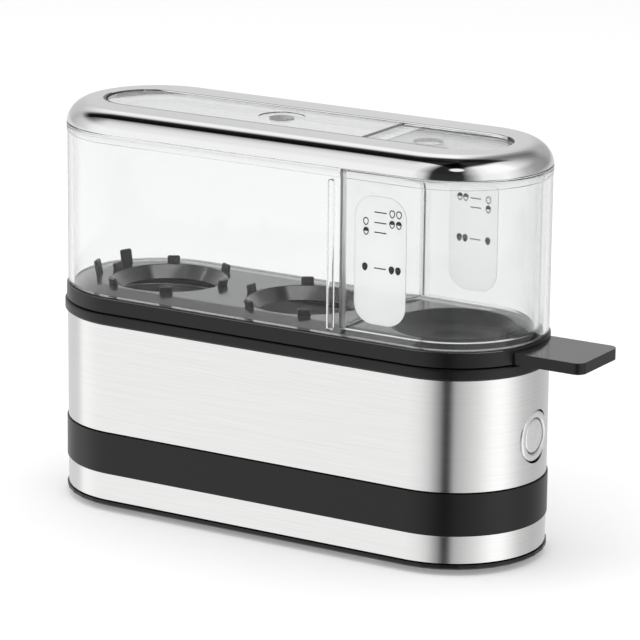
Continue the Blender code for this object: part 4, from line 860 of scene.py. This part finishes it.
# Each pad ends a little above its solid's lower edge; its two faces carry painted glows of different
# strength, and its rim is greyer with no glow
PAD_THICKNESS = 0.0005
PAD_CORNER = 0.0070
PAD_Y = abs(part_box("scale_pad_front")[0].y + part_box("scale_pad_front")[1].y) / 2
for pad_name, side, lift in (("scale_pad_front", -1, 0.0008), ("scale_pad_back", 1, 0.0012)):
    low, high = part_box(pad_name)
    outline = round_rectangle((low.x + high.x) / 2, (low.z + lift + high.z) / 2, high.x - low.x,
                              high.z - low.z - lift, PAD_CORNER)
    pad = flat_shape(pad_name + "_skin", outline, PAD_THICKNESS, FROSTED_PAD_PAINTED_GLOW, side * PAD_Y, 0.0002)
    pad.data.materials.append(FROSTED_INNER_PAINTED_GLOW)
    pad.data.materials.append(FROSTED_EDGE)
    # Outer faces take the weaker painted glow, inner faces the stronger painted glow, and rims the greyer
    # finish without glow
    for polygon in pad.data.polygons:
        outwards = side * polygon.normal.y
        polygon.material_index = 0 if outwards > 0.9 else 1 if outwards < -0.9 else 2
    on_body(pad, "cup", "frosted_plastic", pad_name)

# Sizes of the printed marks
EGG_HALF_WIDTH = 0.00102
EGG_HALF_HEIGHT = 0.00132
EGG_RING_SHARE = 0.72
EGG_FILL_SHARE = 0.80
MARK_LINE = 0.00036
MARK_THICKNESS = 0.00006


def egg_outline(x, z, share=1.0, steps=28):
    """A small egg with its pointed end down."""
    points = []
    for step in range(steps):
        angle = 2 * math.pi * step / steps
        rise = math.sin(angle)
        width = EGG_HALF_WIDTH * (1 + 0.16 * rise) * share
        points.append((x + width * math.cos(angle), z + EGG_HALF_HEIGHT * share * rise))
    return points


def marks(name, side, outwards, rows, material):
    """Printed lines and eggs: each row is (z, line start, line end, eggs), and an egg is (x, kind)."""
    y = side * (PAD_Y + outwards * (PAD_THICKNESS / 2 + MARK_THICKNESS))
    build = bmesh.new()

    def face(points):
        build.faces.new([build.verts.new((BODY_X + x, y, z)) for x, z in points])

    for z, start, end, eggs in rows:
        half = MARK_LINE / 2
        face([(start, z - half), (end, z - half), (end, z + half), (start, z + half)])
        for x, kind in eggs:
            outline = egg_outline(x, z)
            if kind == "full":
                face(outline)
                continue
            inner = egg_outline(x, z, EGG_RING_SHARE)
            for index in range(len(outline)):
                face([outline[index - 1], outline[index], inner[index], inner[index - 1]])
            if kind == "half":
                filled = egg_outline(x, z, EGG_FILL_SHARE)
                face([point for point in filled if point[1] >= z - 0.00002])
    mesh = bpy.data.meshes.new(name)
    build.to_mesh(mesh)
    build.free()
    piece = piece_from(name, mesh, material)
    solid = piece.modifiers.new("thickness", "SOLIDIFY")
    solid.thickness = MARK_THICKNESS
    solid.offset = 0
    return on_body(apply_modifiers(piece), "cup", "black_plastic")


# Rows of marks, measured from the body's middle and the floor
FRONT_ROWS = [
    (0.11765, 0.04425, 0.04865, [(0.05075, "ring"), (0.05325, "ring")]),
    (0.11425, 0.04425, 0.04865, [(0.04105, "ring"), (0.05075, "half"), (0.05325, "half")]),
    (0.11105, 0.04425, 0.04865, [(0.04115, "half")]),
    (0.09925, 0.04425, 0.04865, [(0.04085, "full"), (0.05075, "full"), (0.05315, "full")]),
]
BACK_ROWS = [
    (0.11230, 0.0482, 0.0523, [(0.0440, "half"), (0.0463, "half"), (0.0552, "ring")]),
    (0.10920, 0.0482, 0.0523, [(0.0552, "half")]),
    (0.09840, 0.0482, 0.0523, [(0.0440, "full"), (0.0463, "full"), (0.0552, "full")]),
]
marks("water_marks_front", -1, 1, FRONT_ROWS, INK)
marks("water_marks_front_through", -1, -1, FRONT_ROWS, FADED_INK)
marks("water_marks_back", 1, 1, BACK_ROWS, INK)
marks("water_marks_back_through", 1, -1, BACK_ROWS, FADED_INK)


# Floor, world and lights
def stage_floor():
    mesh = bpy.data.meshes.new("floor")
    size = 3.0
    mesh.from_pydata([(-size, -size, 0), (size, -size, 0), (size, size, 0), (-size, size, 0)], [],
                     [(0, 1, 2, 3)])
    material = bpy.data.materials.new("floor_white")
    material.use_nodes = True
    tree = material.node_tree
    shader = tree.nodes["Principled BSDF"]
    shader.inputs["Base Color"].default_value = (0.80, 0.80, 0.80, 1)
    shader.inputs["Roughness"].default_value = 0.9
    shader.inputs["Specular IOR Level"].default_value = 0.0
    path = tree.nodes.new("ShaderNodeLightPath")
    either = tree.nodes.new("ShaderNodeMath")
    either.operation = "MAXIMUM"
    glow = tree.nodes.new("ShaderNodeMath")
    glow.operation = "MULTIPLY"
    glow.inputs[1].default_value = 0.24
    shader.inputs["Emission Color"].default_value = (1, 1, 1, 1)
    tree.links.new(path.outputs["Is Camera Ray"], either.inputs[0])
    tree.links.new(path.outputs["Is Transmission Ray"], either.inputs[1])
    tree.links.new(either.outputs["Value"], glow.inputs[0])
    tree.links.new(glow.outputs["Value"], shader.inputs["Emission Strength"])
    floor = bpy.data.objects.new("floor", mesh)
    mesh.materials.append(material)
    bpy.context.scene.collection.objects.link(floor)
    floor.visible_glossy = False


stage_floor()


def compass(degrees):
    """Place of a heading on the ramp; 0 looks to the front, 90 to the handle's side."""
    return degrees / 360 + 0.5


def ramp_of(tree, source, stops):
    """A grey ramp from (position, value) stops."""
    ramp = tree.nodes.new("ShaderNodeValToRGB")
    elements = ramp.color_ramp.elements
    while len(elements) < len(stops):
        elements.new(1.0)
    for element, (position, value) in zip(elements, stops):
        element.position = position
        element.color = (value, value, value, 1)
    tree.links.new(source, ramp.inputs["Fac"])
    return ramp.outputs["Color"]


def sum_of(tree, source, factors, offset):
    """The direction's components times factors, plus an offset."""
    product = tree.nodes.new("ShaderNodeVectorMath")
    product.operation = "DOT_PRODUCT"
    product.inputs[1].default_value = factors
    tree.links.new(source, product.inputs[0])
    total = tree.nodes.new("ShaderNodeMath")
    total.operation = "ADD"
    total.inputs[1].default_value = offset
    tree.links.new(product.outputs["Value"], total.inputs[0])
    return total.outputs["Value"]


def step_of(tree, source, start, end):
    """A smooth step from 0 at start to 1 at end."""
    step = tree.nodes.new("ShaderNodeMapRange")
    step.interpolation_type = "SMOOTHSTEP"
    step.inputs["From Min"].default_value = start
    step.inputs["From Max"].default_value = end
    tree.links.new(source, step.inputs["Value"])
    return step.outputs["Result"]


def arithmetic(tree, operation, first, second):
    node = tree.nodes.new("ShaderNodeMath")
    node.operation = operation
    for socket, value in zip(node.inputs, (first, second)):
        if isinstance(value, (int, float)):
            socket.default_value = value
        else:
            tree.links.new(value, socket)
    return node.outputs["Value"]


# Brightness round the studio by heading: below the horizon, just above it, and higher up
LOW_ROUND = [(-180, 0.64), (-150, 0.74), (-100, 0.78), (-90, 0.82), (-78, 1.22), (-50, 1.08), (-31, 1.08),
             (-10, 1.00), (1, 0.80), (8, 0.48), (14, 0.34), (17, 0.01), (25, 0.01), (30, 0.56),
             (44, 0.72), (60, 0.90), (80, 1.30), (94, 1.32), (108, 1.02), (122, 0.72), (146, 0.58),
             (180, 0.64)]
MID_ROUND = [(-180, 0.43), (-165, 0.47), (-150, 0.72), (-135, 0.62), (-118, 0.60), (-105, 0.50), (-90, 0.62),
             (-75, 0.74), (-60, 0.94), (-45, 1.02), (-28, 1.00), (-14, 0.70), (-4, 0.03), (35, 0.03),
             (46, 0.36), (60, 0.94), (90, 1.05), (105, 0.85), (120, 0.53), (138, 0.36), (165, 0.30),
             (180, 0.43)]
HIGH_ROUND = [(-180, 0.16), (-165, 0.32), (-150, 1.00), (-135, 0.93), (-120, 0.68), (-105, 0.38),
              (-91, 0.05), (-75, 0.28), (-60, 0.68), (-45, 0.90), (-28, 0.90), (-14, 0.44), (-5, 0.02),
              (34, 0.02), (45, 0.46), (60, 0.95), (75, 1.12), (95, 1.14), (108, 1.05), (120, 0.80),
              (136, 0.62), (150, 0.40), (165, 0.22), (180, 0.16)]


def studio_world():
    """A pale studio: white to the camera, and for metal two soft boxes with dark gaps between them."""
    world = bpy.data.worlds.new("studio")
    bpy.context.scene.world = world
    world.use_nodes = True
    tree = world.node_tree
    tree.nodes.clear()
    output = tree.nodes.new("ShaderNodeOutputWorld")
    white = tree.nodes.new("ShaderNodeBackground")
    white.inputs["Color"].default_value = (1, 1, 1, 1)
    room = tree.nodes.new("ShaderNodeBackground")
    soft = tree.nodes.new("ShaderNodeBackground")
    soft.inputs["Color"].default_value = (0.80, 0.80, 0.80, 1)
    coords = tree.nodes.new("ShaderNodeTexCoord").outputs["Generated"]
    parts = tree.nodes.new("ShaderNodeSeparateXYZ")
    tree.links.new(coords, parts.inputs["Vector"])
    to_front = arithmetic(tree, "MULTIPLY", parts.outputs["Y"], -1.0)
    heading = arithmetic(tree, "ARCTAN2", parts.outputs["X"], to_front)
    turn = arithmetic(tree, "MULTIPLY", heading, 1 / (2 * math.pi))
    place = arithmetic(tree, "ADD", turn, 0.5)
    low = ramp_of(tree, place, [(compass(angle), value) for angle, value in LOW_ROUND])
    middle = ramp_of(tree, place, [(compass(angle), value) for angle, value in MID_ROUND])
    high = ramp_of(tree, place, [(compass(angle), value) for angle, value in HIGH_ROUND])
    horizon = tree.nodes.new("ShaderNodeMix")
    horizon.data_type = "RGBA"
    tree.links.new(step_of(tree, parts.outputs["Z"], -0.10, 0.06), horizon.inputs["Factor"])
    tree.links.new(low, horizon.inputs["A"])
    tree.links.new(middle, horizon.inputs["B"])
    upper = tree.nodes.new("ShaderNodeMix")
    upper.data_type = "RGBA"
    tree.links.new(step_of(tree, parts.outputs["Z"], 0.35, 0.60), upper.inputs["Factor"])
    tree.links.new(horizon.outputs["Result"], upper.inputs["A"])
    tree.links.new(high, upper.inputs["B"])
    past_front = step_of(tree, sum_of(tree, coords, (0.484, 1.0, 0.0), 0.412), -0.02, 0.03)
    before_back = step_of(tree, sum_of(tree, coords, (-0.2, 1.0, 0.0), -0.44), 0.10, -0.12)
    up_high = step_of(tree, parts.outputs["Z"], 0.40, 0.60)
    strip = arithmetic(tree, "MULTIPLY", arithmetic(tree, "MULTIPLY", past_front, before_back), up_high)
    right = step_of(tree, parts.outputs["X"], 0.26, 0.38)
    under = step_of(tree, parts.outputs["Z"], 0.97, 0.88)
    box_right = arithmetic(tree, "MULTIPLY", right, under)
    dark = arithmetic(tree, "MULTIPLY", strip, arithmetic(tree, "SUBTRACT", 1.0, box_right))
    light = arithmetic(tree, "SUBTRACT", 1.0, arithmetic(tree, "MULTIPLY", dark, 0.97))
    behind = arithmetic(tree, "MULTIPLY", step_of(tree, parts.outputs["Y"], 0.0, 0.3),
                        step_of(tree, parts.outputs["Z"], 0.25, 0.75))
    lift = arithmetic(tree, "ADD", arithmetic(tree, "MULTIPLY", behind, 0.10), 1.0)
    glint = step_of(tree, sum_of(tree, coords, (0.284, -0.558, 0.780), 0.0), 0.9895, 0.9945)
    shade = arithmetic(tree, "MULTIPLY", light, lift)
    shown = tree.nodes.new("ShaderNodeVectorMath")
    shown.operation = "SCALE"
    tree.links.new(upper.outputs["Result"], shown.inputs["Vector"])
    tree.links.new(shade, shown.inputs["Scale"])
    spot = tree.nodes.new("ShaderNodeMix")
    spot.data_type = "RGBA"
    spot.inputs["B"].default_value = (1, 1, 1, 1)
    tree.links.new(glint, spot.inputs["Factor"])
    tree.links.new(shown.outputs["Vector"], spot.inputs["A"])
    tree.links.new(spot.outputs["Result"], room.inputs["Color"])
    path = tree.nodes.new("ShaderNodeLightPath")
    first = tree.nodes.new("ShaderNodeMixShader")
    second = tree.nodes.new("ShaderNodeMixShader")
    third = tree.nodes.new("ShaderNodeMixShader")
    through = tree.nodes.new("ShaderNodeBackground")
    ceiling = ramp_of(tree, parts.outputs["Z"], [(0.0, 1.0), (0.30, 1.0), (0.60, 0.42), (1.0, 0.35)])
    tree.links.new(ceiling, through.inputs["Color"])
    tree.links.new(path.outputs["Is Glossy Ray"], first.inputs["Fac"])
    tree.links.new(soft.outputs["Background"], first.inputs[1])
    tree.links.new(room.outputs["Background"], first.inputs[2])
    tree.links.new(path.outputs["Is Transmission Ray"], second.inputs["Fac"])
    tree.links.new(first.outputs["Shader"], second.inputs[1])
    tree.links.new(through.outputs["Background"], second.inputs[2])
    tree.links.new(path.outputs["Is Camera Ray"], third.inputs["Fac"])
    tree.links.new(second.outputs["Shader"], third.inputs[1])
    tree.links.new(white.outputs["Background"], third.inputs[2])
    tree.links.new(third.outputs["Shader"], output.inputs["Surface"])


studio_world()


def area_light(name, location, target, size, power):
    light = bpy.data.lights.new(name, "AREA")
    light.shape = "RECTANGLE"
    light.size, light.size_y = size
    light.energy = power
    lamp = bpy.data.objects.new(name, light)
    bpy.context.scene.collection.objects.link(lamp)
    lamp.location = location
    lamp.visible_glossy = False
    lamp.rotation_euler = (Vector(target) - Vector(location)).to_track_quat("-Z", "Y").to_euler()
    return lamp


area_light("soft_top", (0.1, -0.1, 1.3), (0, 0, 0.06), (1.0, 1.0), 5.0)
area_light("soft_left", (-0.9, -0.8, 0.7), (0, 0, 0.06), (0.8, 0.8), 3.0)


# Camera at the photograph's viewing angle, with its focal length in pixels
FOCAL_PIXELS = 3751.91
PHOTO_WIDTH = 640


def photo_camera():
    azimuth = math.radians(31.2347)
    elevation = math.radians(14.7600)
    roll = math.radians(0.5831)
    distance = 1.25328
    target = Vector((-0.004171, 0, 0.070056))
    back = Vector((math.sin(azimuth) * math.cos(elevation), -math.cos(azimuth) * math.cos(elevation),
                   math.sin(elevation)))
    right = Vector((math.cos(azimuth), math.sin(azimuth), 0))
    up = back.cross(right)
    rolled_right = right * math.cos(roll) + up * math.sin(roll)
    rolled_up = up * math.cos(roll) - right * math.sin(roll)
    data = bpy.data.cameras.new("photo_camera")
    data.sensor_width = 36.0
    data.lens = FOCAL_PIXELS / PHOTO_WIDTH * data.sensor_width
    data.clip_start = 0.05
    camera = bpy.data.objects.new("photo_camera", data)
    bpy.context.scene.collection.objects.link(camera)
    place = target + back * distance
    camera.matrix_world = Matrix((
        (rolled_right.x, rolled_up.x, back.x, place.x),
        (rolled_right.y, rolled_up.y, back.y, place.y),
        (rolled_right.z, rolled_up.z, back.z, place.z),
        (0, 0, 0, 1),
    ))
    bpy.context.scene.camera = camera


photo_camera()
bpy.context.scene.view_settings.view_transform = "Standard"
